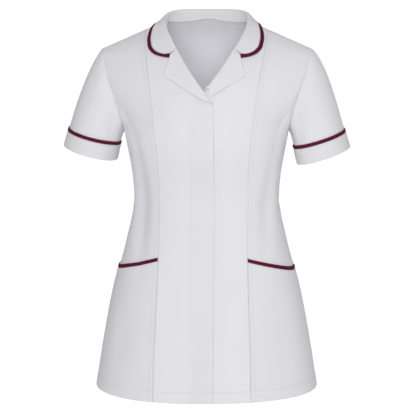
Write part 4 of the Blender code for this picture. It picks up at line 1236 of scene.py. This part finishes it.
# Stitches. Each line is a path on the finished cloth, and the tree sets a stitch on it at every pitch.


def input_socket(tree, name, kind, value=None):
    made = tree.interface.new_socket(name, in_out="INPUT", socket_type=kind)
    if value is not None:
        made.default_value = value
    return made


def add(tree, kind, inputs=None, **settings):
    """New node with its settings, and its inputs set to values or linked from sockets."""
    made = tree.nodes.new(kind)
    for key, value in settings.items():
        setattr(made, key, value)
    for key, value in (inputs or {}).items():
        if isinstance(value, bpy.types.NodeSocket):
            tree.links.new(value, made.inputs[key])
        else:
            made.inputs[key].default_value = value
    return made


def stitch_tree():
    """Geometry nodes that set long stitches along the edges of a mesh, flat on the cloth."""
    tree = bpy.data.node_groups.new("stitch line", "GeometryNodeTree")
    tree.interface.new_socket("Geometry", in_out="OUTPUT", socket_type="NodeSocketGeometry")
    input_socket(tree, "Geometry", "NodeSocketGeometry")
    input_socket(tree, "Pitch", "NodeSocketFloat", 0.0028)
    input_socket(tree, "Stitch length", "NodeSocketFloat", 0.0021)
    input_socket(tree, "Thread width", "NodeSocketFloat", 0.00042)
    input_socket(tree, "Thread height", "NodeSocketFloat", 0.00030)
    input_socket(tree, "Slant", "NodeSocketFloat", 0.10)
    input_socket(tree, "Seed", "NodeSocketInt", 3)
    input_socket(tree, "Thread", "NodeSocketMaterial")
    given = add(tree, "NodeGroupInput").outputs
    line = add(tree, "GeometryNodeMeshToCurve", {"Mesh": given["Geometry"]})
    line = add(tree, "GeometryNodeResampleCurve", {"Curve": line.outputs["Curve"], "Length": given["Pitch"]},
               mode="LENGTH")
    size = add(tree, "ShaderNodeCombineXYZ", {"X": given["Stitch length"], "Y": given["Thread width"],
                                              "Z": given["Thread height"]})
    bead = add(tree, "GeometryNodeMeshUVSphere", {"Segments": 6, "Rings": 6, "Radius": 0.5})
    across = add(tree, "GeometryNodeTransform", {"Geometry": bead.outputs["Mesh"],
                                                 "Rotation": (0, math.pi / 2, 0)})
    thread = add(tree, "GeometryNodeTransform", {"Geometry": across.outputs["Geometry"],
                                                 "Scale": size.outputs["Vector"]})
    tangent = add(tree, "GeometryNodeInputTangent")
    out = add(tree, "GeometryNodeInputNamedAttribute", {"Name": "out"}, data_type="FLOAT_VECTOR")
    along = add(tree, "FunctionNodeAlignRotationToVector", {"Vector": tangent.outputs["Tangent"]}, axis="X")
    flat = add(tree, "FunctionNodeAlignRotationToVector",
               {"Rotation": along.outputs["Rotation"], "Vector": out.outputs["Attribute"]},
               axis="Z", pivot_axis="X")
    least = add(tree, "ShaderNodeMath", {0: given["Slant"], 1: -1.0}, operation="MULTIPLY")
    chance = add(tree, "FunctionNodeRandomValue", {"Seed": given["Seed"]}, data_type="FLOAT")
    tree.links.new(least.outputs[0], chance.inputs[2])
    tree.links.new(given["Slant"], chance.inputs[3])
    turn = add(tree, "FunctionNodeAxisAngleToRotation", {"Axis": (0, 0, 1), "Angle": chance.outputs[1]})
    turned = add(tree, "FunctionNodeRotateRotation",
                 {"Rotation": flat.outputs["Rotation"], "Rotate By": turn.outputs["Rotation"]},
                 rotation_space="LOCAL")
    placed = add(tree, "GeometryNodeInstanceOnPoints",
                 {"Points": line.outputs["Curve"], "Instance": thread.outputs["Geometry"],
                  "Rotation": turned.outputs["Rotation"]})
    real = add(tree, "GeometryNodeRealizeInstances", {"Geometry": placed.outputs["Instances"]})
    smooth = add(tree, "GeometryNodeSetShadeSmooth", {"Geometry": real.outputs["Geometry"]})
    coloured = add(tree, "GeometryNodeSetMaterial",
                   {"Geometry": smooth.outputs["Geometry"], "Material": given["Thread"]})
    add(tree, "NodeGroupOutput", {"Geometry": coloured.outputs["Geometry"]})
    return tree


def stitches(name, tree, lines, thread):
    """One mesh of all the stitches along lines, each a pair of points and outward normals."""
    points, edges, out = [], [], []
    for path, normals in lines:
        first = len(points)
        points += [tuple(p) for p in path]
        out += [tuple(n) for n in normals]
        edges += [(k, k + 1) for k in range(first, len(points) - 1)]
    mesh = bpy.data.meshes.new(name + " path")
    mesh.from_pydata(points, edges, [])
    stored = mesh.attributes.new("out", "FLOAT_VECTOR", "POINT")
    stored.data.foreach_set("vector", np.array(out, np.float32).reshape(-1))
    path = bpy.data.objects.new(name + " path", mesh)
    bpy.context.scene.collection.objects.link(path)
    modifier = path.modifiers.new("stitches", "NODES")
    modifier.node_group = tree
    sockets = {item.name: item.identifier for item in tree.interface.items_tree if item.in_out == "INPUT"}
    modifier[sockets["Thread"]] = thread
    modifier[sockets["Seed"]] = len(points)
    evaluated = path.evaluated_get(bpy.context.evaluated_depsgraph_get())
    made = bpy.data.objects.new(name, bpy.data.meshes.new_from_object(evaluated))
    made.data.name = name
    bpy.context.scene.collection.objects.link(made)
    bpy.data.objects.remove(path)
    return made


STITCH_STEP = 0.003        # distance between the points of a stitch path
STITCH_SEAT = 0.00008      # how far a stitch's middle stands over the cloth


def along_levels(low, high):
    return np.linspace(low, high, max(int((high - low) / STITCH_STEP), 2))


def body_line(share, level, height):
    """A stitch path on the torso."""
    normals = torso_normal(share, level)
    lift = torso_relief(share, level) + height + STITCH_SEAT
    return torso(share, level) + normals * lift[..., None], normals


def princess_lines(side):
    """Twin topstitching beside a princess seam, over the pocket and on up the side front."""
    lines = []
    for distance in (TWIN_NEAR, TWIN_FAR):
        probe = distance / 0.105
        seam = float(pocket_level(np.array(probe), PIPING)) - 0.001
        mouth = float(pocket_level(np.array(probe), 0.0)) + 0.001
        seed = (13 if side < 0 else 14, 31 if side < 0 else 32)
        for low, high, on_pocket in ((FRONT_HEM + 0.001, seam, True), (mouth, SHOULDER - 0.012, False)):
            level = along_levels(low, high)
            start, end = side_start(level)
            share = (start + distance) / row_length(level)
            height = seam_draw(np.full(level.shape, distance), level, seed[1] if on_pocket else seed[0])
            if on_pocket:
                height = height + pocket_height(distance / (end - start), mouth - level)
            lines.append(body_line(share * side, level, height))
    return lines


def placket_line():
    """The fly's stitch line on the right front, from the hem up to the break of the lapel."""
    level = along_levels(FRONT_HEM + 0.001, BREAK - 0.014)
    share = share_at(PLACKET_EDGE, level)
    return body_line(-share, level, placket_relief(-1, np.full(level.shape, PLACKET_EDGE), level))


def hem_lines():
    """The hem's stitch line round the fronts, the pockets and the back."""
    lines = []
    level = FRONT_HEM + HEM_DEPTH
    for side in (-1, 1):
        lap = -HALF_LAP if side < 0 else -HALF_UNDERLAP
        first = float(share_at(lap, level))
        last = float(share_at(princess_x(level), level)) - 0.002
        share = np.linspace(first + 0.003, last, 40)
        x = torso(share, np.full(share.shape, level))[..., 0]
        lines.append(body_line(share * side, np.full(share.shape, level), 0.00035 - front_sink(side, x)
                               + placket_relief(side, x, np.full(share.shape, level))))
        share = np.linspace(last + 0.004, 0.998, 40)
        lift = np.full(share.shape, POCKET_LIFT + 0.00035)
        lines.append(body_line(share * side, np.full(share.shape, level), lift))
    share = np.linspace(-0.998, 0.998, 160)
    lines.append(body_line(share, np.full(share.shape, BACK_HEM - HEM_DEPTH), np.full(share.shape, 0.00035)))
    return lines


def armhole_line(side):
    """Stitches on the body beside an armhole, from the underarm in front over the shoulder and down."""
    level = along_levels(FRONT_UNDERARM + 0.006, BACK_UNDERARM - 0.006)
    share = 1 - ARM_STITCH / row_length(level)
    return body_line(share * side, level, body_dip(ARM_STITCH, level))


def neck_line():
    """The stitch line inside the back neck, under the collar's seam."""
    share = np.concatenate([-NECK_SHARES[:0:-1], NECK_SHARES])[4:-4]
    level = np.concatenate([NECK_LEVELS[:0:-1], NECK_LEVELS])[4:-4] + 0.0045
    points, normals = body_line(share, level, np.zeros(share.shape))
    return points - normals * (BODY_WALL + 2 * STITCH_SEAT), -normals


def pocket_line(side):
    """Stitch line under the piping of a pocket."""
    across = np.linspace(0.02, 0.98, 40)
    level = pocket_level(across, PIPING) - SEAM - 0.0016
    share = side_share(across, level)
    lift = pocket_height(across, np.full(across.shape, PIPING + 0.002)) - 0.0001
    return body_line(share * side, level, lift)


def sleeve_lines(cut):
    """Stitch lines round a sleeve, above and below its piping."""
    form = SleeveForm(cut)
    lift = BAND_WALL + SEAM
    lines = []
    for offset, height in ((PIPING + 0.0016, 0.0), (-0.0016, lift)):
        from_head = (form.length - CUFF_DEPTH - offset)[None] * np.ones((3, 1))
        from_head = from_head + np.array([[-0.001], [0], [0.001]])
        points, normals = form.placed(from_head, np.full(from_head.shape, height + STITCH_SEAT))
        closed = np.concatenate([points[1], points[1][:1]])
        lines.append((closed, np.concatenate([normals[1], normals[1][:1]])))
    return lines


def collar_line():
    """Stitch line on the collar beside its piping."""
    line = []
    for section in collar_sections(190):
        along = chords(section)
        line.append(hermite(along, section, along[-1] - COLLAR_PIPING - np.array([0.0020, 0.0016])))
    line = np.array(line)
    run = np.gradient(line[:, 1], axis=0)
    out = unit(np.cross(run, line[:, 1] - line[:, 0]))
    out = np.where((out[:, 1] * line[:, 1, 1] < 0)[:, None] & (np.abs(out[:, 2]) < 0.5)[:, None], -out, out)
    return line[:, 1] + out * STITCH_SEAT, out


# Finishes

# Cloth colours, and the darker colours that the washed tone, the weave and the painted shade beside seams and
# along stitch grooves mix towards
WHITE = (0.85, 0.84, 0.88)
WHITE_SHADE = (0.63, 0.62, 0.67)
BURGUNDY = (0.125, 0.010, 0.028)
BURGUNDY_SHADE = (0.070, 0.006, 0.016)


def node_group(name, inputs, outputs):
    """New shader group with its sockets, and its input and output nodes."""
    tree = bpy.data.node_groups.new(name, "ShaderNodeTree")
    for key, kind, value in inputs:
        input_socket(tree, key, kind, value)
    for key, kind in outputs:
        tree.interface.new_socket(key, in_out="OUTPUT", socket_type=kind)
    return tree, add(tree, "NodeGroupInput").outputs


def maths(tree, operation, a, b=0.0, c=0.0):
    return add(tree, "ShaderNodeMath", {0: a, 1: b, 2: c}, operation=operation).outputs[0]


def twill_group():
    """Twill weave on the cloth's own place: threads both ways, and the diagonal ribs that they make."""
    tree, given = node_group(
        "twill weave",
        [("Place", "NodeSocketVector", None), ("Thread pitch", "NodeSocketFloat", 0.00045),
         ("Threads a rib", "NodeSocketFloat", 3.0)],
        [("Height", "NodeSocketFloat"), ("Rib", "NodeSocketFloat")])
    place = add(tree, "ShaderNodeSeparateXYZ", {"Vector": given["Place"]}).outputs
    turns = maths(tree, "DIVIDE", math.tau, given["Thread pitch"])
    across = maths(tree, "MULTIPLY", place["X"], turns)
    up = maths(tree, "MULTIPLY", place["Y"], turns)
    warp = maths(tree, "SINE", across)
    weft = maths(tree, "SINE", up)
    both = maths(tree, "MULTIPLY", warp, weft)
    diagonal = maths(tree, "DIVIDE", maths(tree, "ADD", across, up), given["Threads a rib"])
    rib = maths(tree, "MULTIPLY_ADD", maths(tree, "SINE", diagonal), 0.5, 0.5)
    height = maths(tree, "MULTIPLY_ADD", both, 0.25, rib)
    add(tree, "NodeGroupOutput", {"Height": height, "Rib": rib})
    return tree


def groove_group():
    """How deep a stitch line draws the cloth in, from the distances to three stitch lines."""
    tree, given = node_group(
        "stitch groove",
        [("First", "NodeSocketFloat", FAR), ("Second", "NodeSocketFloat", FAR),
         ("Third", "NodeSocketFloat", FAR), ("Groove width", "NodeSocketFloat", 0.0009)],
        [("Groove", "NodeSocketFloat")])
    total = 0.0
    for key in ("First", "Second", "Third"):
        share = maths(tree, "DIVIDE", given[key], given["Groove width"])
        square = maths(tree, "MULTIPLY", share, share)
        dip = maths(tree, "POWER", 2.7183, maths(tree, "MULTIPLY", square, -1.0))
        total = maths(tree, "ADD", dip, total)
    add(tree, "NodeGroupOutput", {"Groove": total})
    return tree


def mottle_group():
    """Slow uneven tone of washed and pressed cloth, and its fine crinkle."""
    tree, given = node_group(
        "washed cloth",
        [("Place", "NodeSocketVector", None), ("Patch size", "NodeSocketFloat", 0.06),
         ("Crinkle size", "NodeSocketFloat", 0.006)],
        [("Tone", "NodeSocketFloat"), ("Crinkle", "NodeSocketFloat")])
    slow = add(tree, "ShaderNodeTexNoise", {"Vector": given["Place"], "Detail": 3.0,
                                            "Scale": maths(tree, "DIVIDE", 1.0, given["Patch size"])})
    fine = add(tree, "ShaderNodeTexNoise", {"Vector": given["Place"], "Detail": 4.0, "Roughness": 0.6,
                                            "Scale": maths(tree, "DIVIDE", 1.0, given["Crinkle size"])})
    add(tree, "NodeGroupOutput", {"Tone": slow.outputs["Fac"], "Crinkle": fine.outputs["Fac"]})
    return tree


def attribute(tree, name):
    return add(tree, "ShaderNodeAttribute", attribute_name=name).outputs["Fac"]


def grouped(tree, group, inputs):
    return add_group(tree, group, inputs).outputs


def add_group(tree, group, inputs):
    made = tree.nodes.new("ShaderNodeGroup")
    made.node_tree = group
    for key, value in inputs.items():
        if isinstance(value, bpy.types.NodeSocket):
            tree.links.new(value, made.inputs[key])
        else:
            made.inputs[key].default_value = value
    return made


def cloth_material(name, groups, colour, shade, look):
    """Woven cloth: its weave, stitch grooves and washed tone, with painted shade in its seams and along its
    stitch grooves.
    """
    made = bpy.data.materials.new(name)
    made.use_nodes = True
    tree = made.node_tree
    shader = tree.nodes["Principled BSDF"]
    shader.inputs["Roughness"].default_value = look["roughness"]
    shader.inputs["Sheen Weight"].default_value = look["sheen"]
    shader.inputs["Sheen Roughness"].default_value = 0.45
    shader.inputs["Specular IOR Level"].default_value = look["specular"]
    shader.inputs["Subsurface Weight"].default_value = look["glow"]
    shader.inputs["Subsurface Radius"].default_value = (1.0, 1.0, 1.0)
    shader.inputs["Subsurface Scale"].default_value = 0.003
    place = add(tree, "ShaderNodeTexCoord")
    twill, groove, washed = groups
    weave = grouped(tree, twill, {"Place": place.outputs["UV"], "Thread pitch": look["pitch"],
                                  "Threads a rib": look["rib"]})
    grooves = grouped(tree, groove, {"First": attribute(tree, "stitch_a"),
                                     "Second": attribute(tree, "stitch_b"),
                                     "Third": attribute(tree, "stitch_c"),
                                     "Groove width": look["groove width"]})
    tone = grouped(tree, washed, {"Place": place.outputs["Object"], "Patch size": look["patch"],
                                  "Crinkle size": look["crinkle size"]})
    # Painted shade: the colour darkens towards the shade colour within 1.6 mm of a seam, and in the strip
    # beside the right front's lapped edge
    seam = add(tree, "ShaderNodeMapRange", {"Value": attribute(tree, "seam"), "From Min": 0.0,
                                            "From Max": 0.0016, "To Min": 1.0, "To Max": 0.0},
               interpolation_type="SMOOTHSTEP").outputs["Result"]
    slow = maths(tree, "MULTIPLY_ADD", tone["Tone"], look["tone"], -0.5 * look["tone"])
    dark = maths(tree, "MULTIPLY_ADD", seam, look["painted seam shade"], slow)
    dark = maths(tree, "MULTIPLY_ADD", maths(tree, "SUBTRACT", 1.0, weave["Rib"]), look["weave shade"], dark)
    # Painted shade along the stitch grooves, on top of their bump
    dark = maths(tree, "MULTIPLY_ADD", grooves["Groove"], look["painted seam shade"] * 0.15, dark)
    mixed = add(tree, "ShaderNodeMix", data_type="RGBA", clamp_factor=True)
    tree.links.new(dark, mixed.inputs[0])
    mixed.inputs[6].default_value = (*colour, 1)
    mixed.inputs[7].default_value = (*shade, 1)
    tree.links.new(mixed.outputs[2], shader.inputs["Base Color"])
    crinkle = add(tree, "ShaderNodeBump", {"Height": tone["Crinkle"], "Distance": look["crinkle depth"]})
    drawn = add(tree, "ShaderNodeBump", {"Height": maths(tree, "MULTIPLY", grooves["Groove"], -1.0),
                                         "Distance": 0.0003, "Normal": crinkle.outputs["Normal"]})
    woven = add(tree, "ShaderNodeBump", {"Height": weave["Height"], "Distance": look["weave depth"],
                                         "Normal": drawn.outputs["Normal"]})
    tree.links.new(woven.outputs["Normal"], shader.inputs["Normal"])
    return made


# How strongly shade is painted beside seams and along stitch grooves is set in each look
WHITE_LOOK = {"roughness": 0.92, "sheen": 0.12, "specular": 0.25, "pitch": 0.00045, "rib": 3.0,
              "groove width": 0.0009, "patch": 0.07, "crinkle size": 0.006, "tone": 0.08, "painted seam shade": 0.45,
              "glow": 0.3, "weave shade": 0.06, "crinkle depth": 0.00006, "weave depth": 0.00004}
PIPING_LOOK = {"roughness": 0.85, "sheen": 0.0, "glow": 0.0, "specular": 0.15, "pitch": 0.00050, "rib": 2.0,
               "groove width": 0.0005, "patch": 0.03, "crinkle size": 0.004, "tone": 0.4, "painted seam shade": 0.5,
               "weave shade": 0.35, "crinkle depth": 0.00005, "weave depth": 0.00005}


def thread_material():
    """Polyester sewing thread: tight slanting twist, a little glossier than the cloth."""
    made = bpy.data.materials.new("white thread")
    made.use_nodes = True
    tree = made.node_tree
    shader = tree.nodes["Principled BSDF"]
    shader.inputs["Roughness"].default_value = 0.6
    shader.inputs["Sheen Weight"].default_value = 0.1
    place = add(tree, "ShaderNodeTexCoord").outputs["Object"]
    twist = add(tree, "ShaderNodeTexWave", {"Vector": place, "Scale": 700.0, "Distortion": 1.5},
                wave_type="BANDS", bands_direction="DIAGONAL")
    mixed = add(tree, "ShaderNodeMix", data_type="RGBA")
    tree.links.new(twist.outputs["Fac"], mixed.inputs[0])
    mixed.inputs[6].default_value = (*WHITE_SHADE, 1)
    mixed.inputs[7].default_value = (0.84, 0.83, 0.86, 1)
    tree.links.new(mixed.outputs[2], shader.inputs["Base Color"])
    bump = add(tree, "ShaderNodeBump", {"Height": twist.outputs["Fac"], "Distance": 0.00004})
    tree.links.new(bump.outputs["Normal"], shader.inputs["Normal"])
    return made


# Camera, floor and light

CAMERA_TURN = math.radians(4)       # the camera stands a little to the wearer's left
CAMERA_DISTANCE = 2.8
CAMERA_HEIGHT = 0.06
AIM = Vector((0.0025, 0.0, -0.36))
LENS = 127
SENSOR = 36
FLOOR = -1.38
SURROUND = 0.40            # how brightly the white surround lights the cloth


def camera():
    data = bpy.data.cameras.new("camera")
    data.lens = LENS
    data.sensor_width = SENSOR
    made = bpy.data.objects.new("camera", data)
    made.location = (CAMERA_DISTANCE * math.sin(CAMERA_TURN),
                     -CAMERA_DISTANCE * math.cos(CAMERA_TURN), CAMERA_HEIGHT)
    made.rotation_euler = (AIM - made.location).to_track_quat("-Z", "Y").to_euler()
    bpy.context.scene.collection.objects.link(made)
    bpy.context.scene.camera = made


def area_light(name, place, aim, size, power):
    data = bpy.data.lights.new(name, "AREA")
    data.shape = "DISK"
    data.size = size
    data.energy = power
    made = bpy.data.objects.new(name, data)
    made.location = place
    made.rotation_euler = (Vector(aim) - Vector(place)).to_track_quat("-Z", "Y").to_euler()
    bpy.context.scene.collection.objects.link(made)


def studio():
    """Pale floor, white surround and soft light from the front on the wearer's left."""
    size = 600
    mesh = bpy.data.meshes.new("floor")
    mesh.from_pydata([(-size, -size, FLOOR), (size, -size, FLOOR), (size, size, FLOOR), (-size, size, FLOOR)],
                     [], [(0, 1, 2, 3)])
    floor = bpy.data.objects.new("floor", mesh)
    bpy.context.scene.collection.objects.link(floor)
    paint = bpy.data.materials.new("pale floor")
    paint.use_nodes = True
    shader = paint.node_tree.nodes["Principled BSDF"]
    shader.inputs["Base Color"].default_value = (0.92, 0.92, 0.92, 1)
    shader.inputs["Roughness"].default_value = 1.0
    shader.inputs["Specular IOR Level"].default_value = 0.0
    shader.inputs["Emission Color"].default_value = (1, 1, 1, 1)
    seen = add(paint.node_tree, "ShaderNodeLightPath").outputs["Is Camera Ray"]
    glow = maths(paint.node_tree, "MULTIPLY", seen, 0.70)
    paint.node_tree.links.new(glow, shader.inputs["Emission Strength"])
    mesh.materials.append(paint)
    world = bpy.data.worlds.new("white surround")
    world.use_nodes = True
    background = world.node_tree.nodes["Background"]
    background.inputs["Color"].default_value = (1.0, 1.0, 1.0, 1)
    seen = add(world.node_tree, "ShaderNodeLightPath").outputs["Is Camera Ray"]
    strength = maths(world.node_tree, "MULTIPLY_ADD", seen, 1.0 - SURROUND, SURROUND)
    world.node_tree.links.new(strength, background.inputs["Strength"])
    bpy.context.scene.world = world
    bpy.context.scene.view_settings.view_transform = "Standard"
    area_light("key", (0.08, -2.82, 0.15), AIM, 1.4, 34.5)
    area_light("side", (2.81, -0.50, 0.15), AIM, 1.4, 6.5)
    area_light("top", (0.0, -1.66, 2.03), AIM, 1.4, 5)
    area_light("inside", (0.0, -0.03, -0.26), (0.0, 0.06, -0.06), 0.10, 0.052)


# Pieces

# What shows of each cut piece, flat, in metres and square metres, how it is held and what it hangs on.
Cut = namedtuple("Cut", "width length area held rests_on")
CUTS = {
    "back": Cut(0.595, 0.767, 0.3284, "hung", ["front_right_side_cloth", "front_left_side_cloth"]),
    "front_right_centre": Cut(0.120, 0.787, 0.0745, "hung", ["front_right_side_cloth"]),
    "front_left_centre": Cut(0.118, 0.786, 0.0732, "hung", ["front_left_side_cloth"]),
    "front_right_side": Cut(0.204, 0.741, 0.0966, "hung", ["back_cloth"]),
    "front_left_side": Cut(0.204, 0.738, 0.0961, "hung", ["back_cloth"]),
    "sleeve_right": Cut(0.402, 0.202, 0.0467, "hung", ["front_right_side_cloth", "back_cloth"]),
    "sleeve_left": Cut(0.404, 0.202, 0.0473, "hung", ["front_left_side_cloth", "back_cloth"]),
    "cuff_right": Cut(0.367, 0.031, 0.0111, "folded", ["sleeve_right_cloth"]),
    "cuff_left": Cut(0.367, 0.031, 0.0111, "folded", ["sleeve_left_cloth"]),
    "cuff_trim_right": Cut(0.364, 0.010, 0.0025, "folded", ["sleeve_right_cloth"]),
    "cuff_trim_left": Cut(0.363, 0.010, 0.0025, "folded", ["sleeve_left_cloth"]),
    "collar": Cut(0.517, 0.067, 0.0219, "folded", ["back_cloth"]),
    "collar_trim": Cut(0.537, 0.010, 0.0037, "folded", ["collar_cloth"]),
    "lapel_right": Cut(0.135, 0.050, 0.0042, "folded", ["front_right_centre_cloth"]),
    "lapel_left": Cut(0.105, 0.050, 0.0036, "folded", ["front_left_centre_cloth"]),
    "pocket_right": Cut(0.206, 0.265, 0.0447, "hung", ["front_right_side_cloth"]),
    "pocket_left": Cut(0.206, 0.262, 0.0443, "hung", ["front_left_side_cloth"]),
    "pocket_trim_right": Cut(0.156, 0.010, 0.0011, "folded", ["pocket_right_cloth"]),
    "pocket_trim_left": Cut(0.156, 0.010, 0.0011, "folded", ["pocket_left_cloth"]),
}


def build():
    groups = (twill_group(), groove_group(), mottle_group())
    cloth = cloth_material("white twill", groups, WHITE, WHITE_SHADE, WHITE_LOOK)
    contrast = cloth_material("burgundy binding", groups, BURGUNDY, BURGUNDY_SHADE, PIPING_LOOK)
    thread = thread_material()
    pieces = [back(cloth)]
    for tag, side in (("right", -1), ("left", 1)):
        pieces.append(centre_front(f"front_{tag}_centre", side, cloth))
        pieces.append(side_front(f"front_{tag}_side", side, cloth))
        pieces += pocket(tag, side, cloth, contrast)
    for cut in SLEEVES:
        pieces += sleeve(cut, cloth, contrast)
    pieces += [lapel(cut, cloth) for cut in LAPELS]
    pieces += collar(cloth, contrast)
    for piece in pieces:
        node = piece.name.split(".")[0]
        piece.name = node + "_cloth"
        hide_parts(node)
        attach(piece, "root")
    for piece in pieces:
        cut = CUTS[piece.name.removesuffix("_cloth")]
    tree = stitch_tree()
    sewn = {
        "stitches_right": princess_lines(-1) + [placket_line(), pocket_line(-1), armhole_line(-1)],
        "stitches_left": princess_lines(1) + [pocket_line(1), armhole_line(1)],
        "stitches_hem": hem_lines(),
        "stitches_sleeve_right": sleeve_lines(SLEEVES[0]),
        "stitches_sleeve_left": sleeve_lines(SLEEVES[1]),
        "stitches_collar": [collar_line(), neck_line()],
    }
    for name, lines in sewn.items():
        piece = stitches(name, tree, lines, thread)
        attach(piece, "root")
    return pieces


build()
camera()
studio()
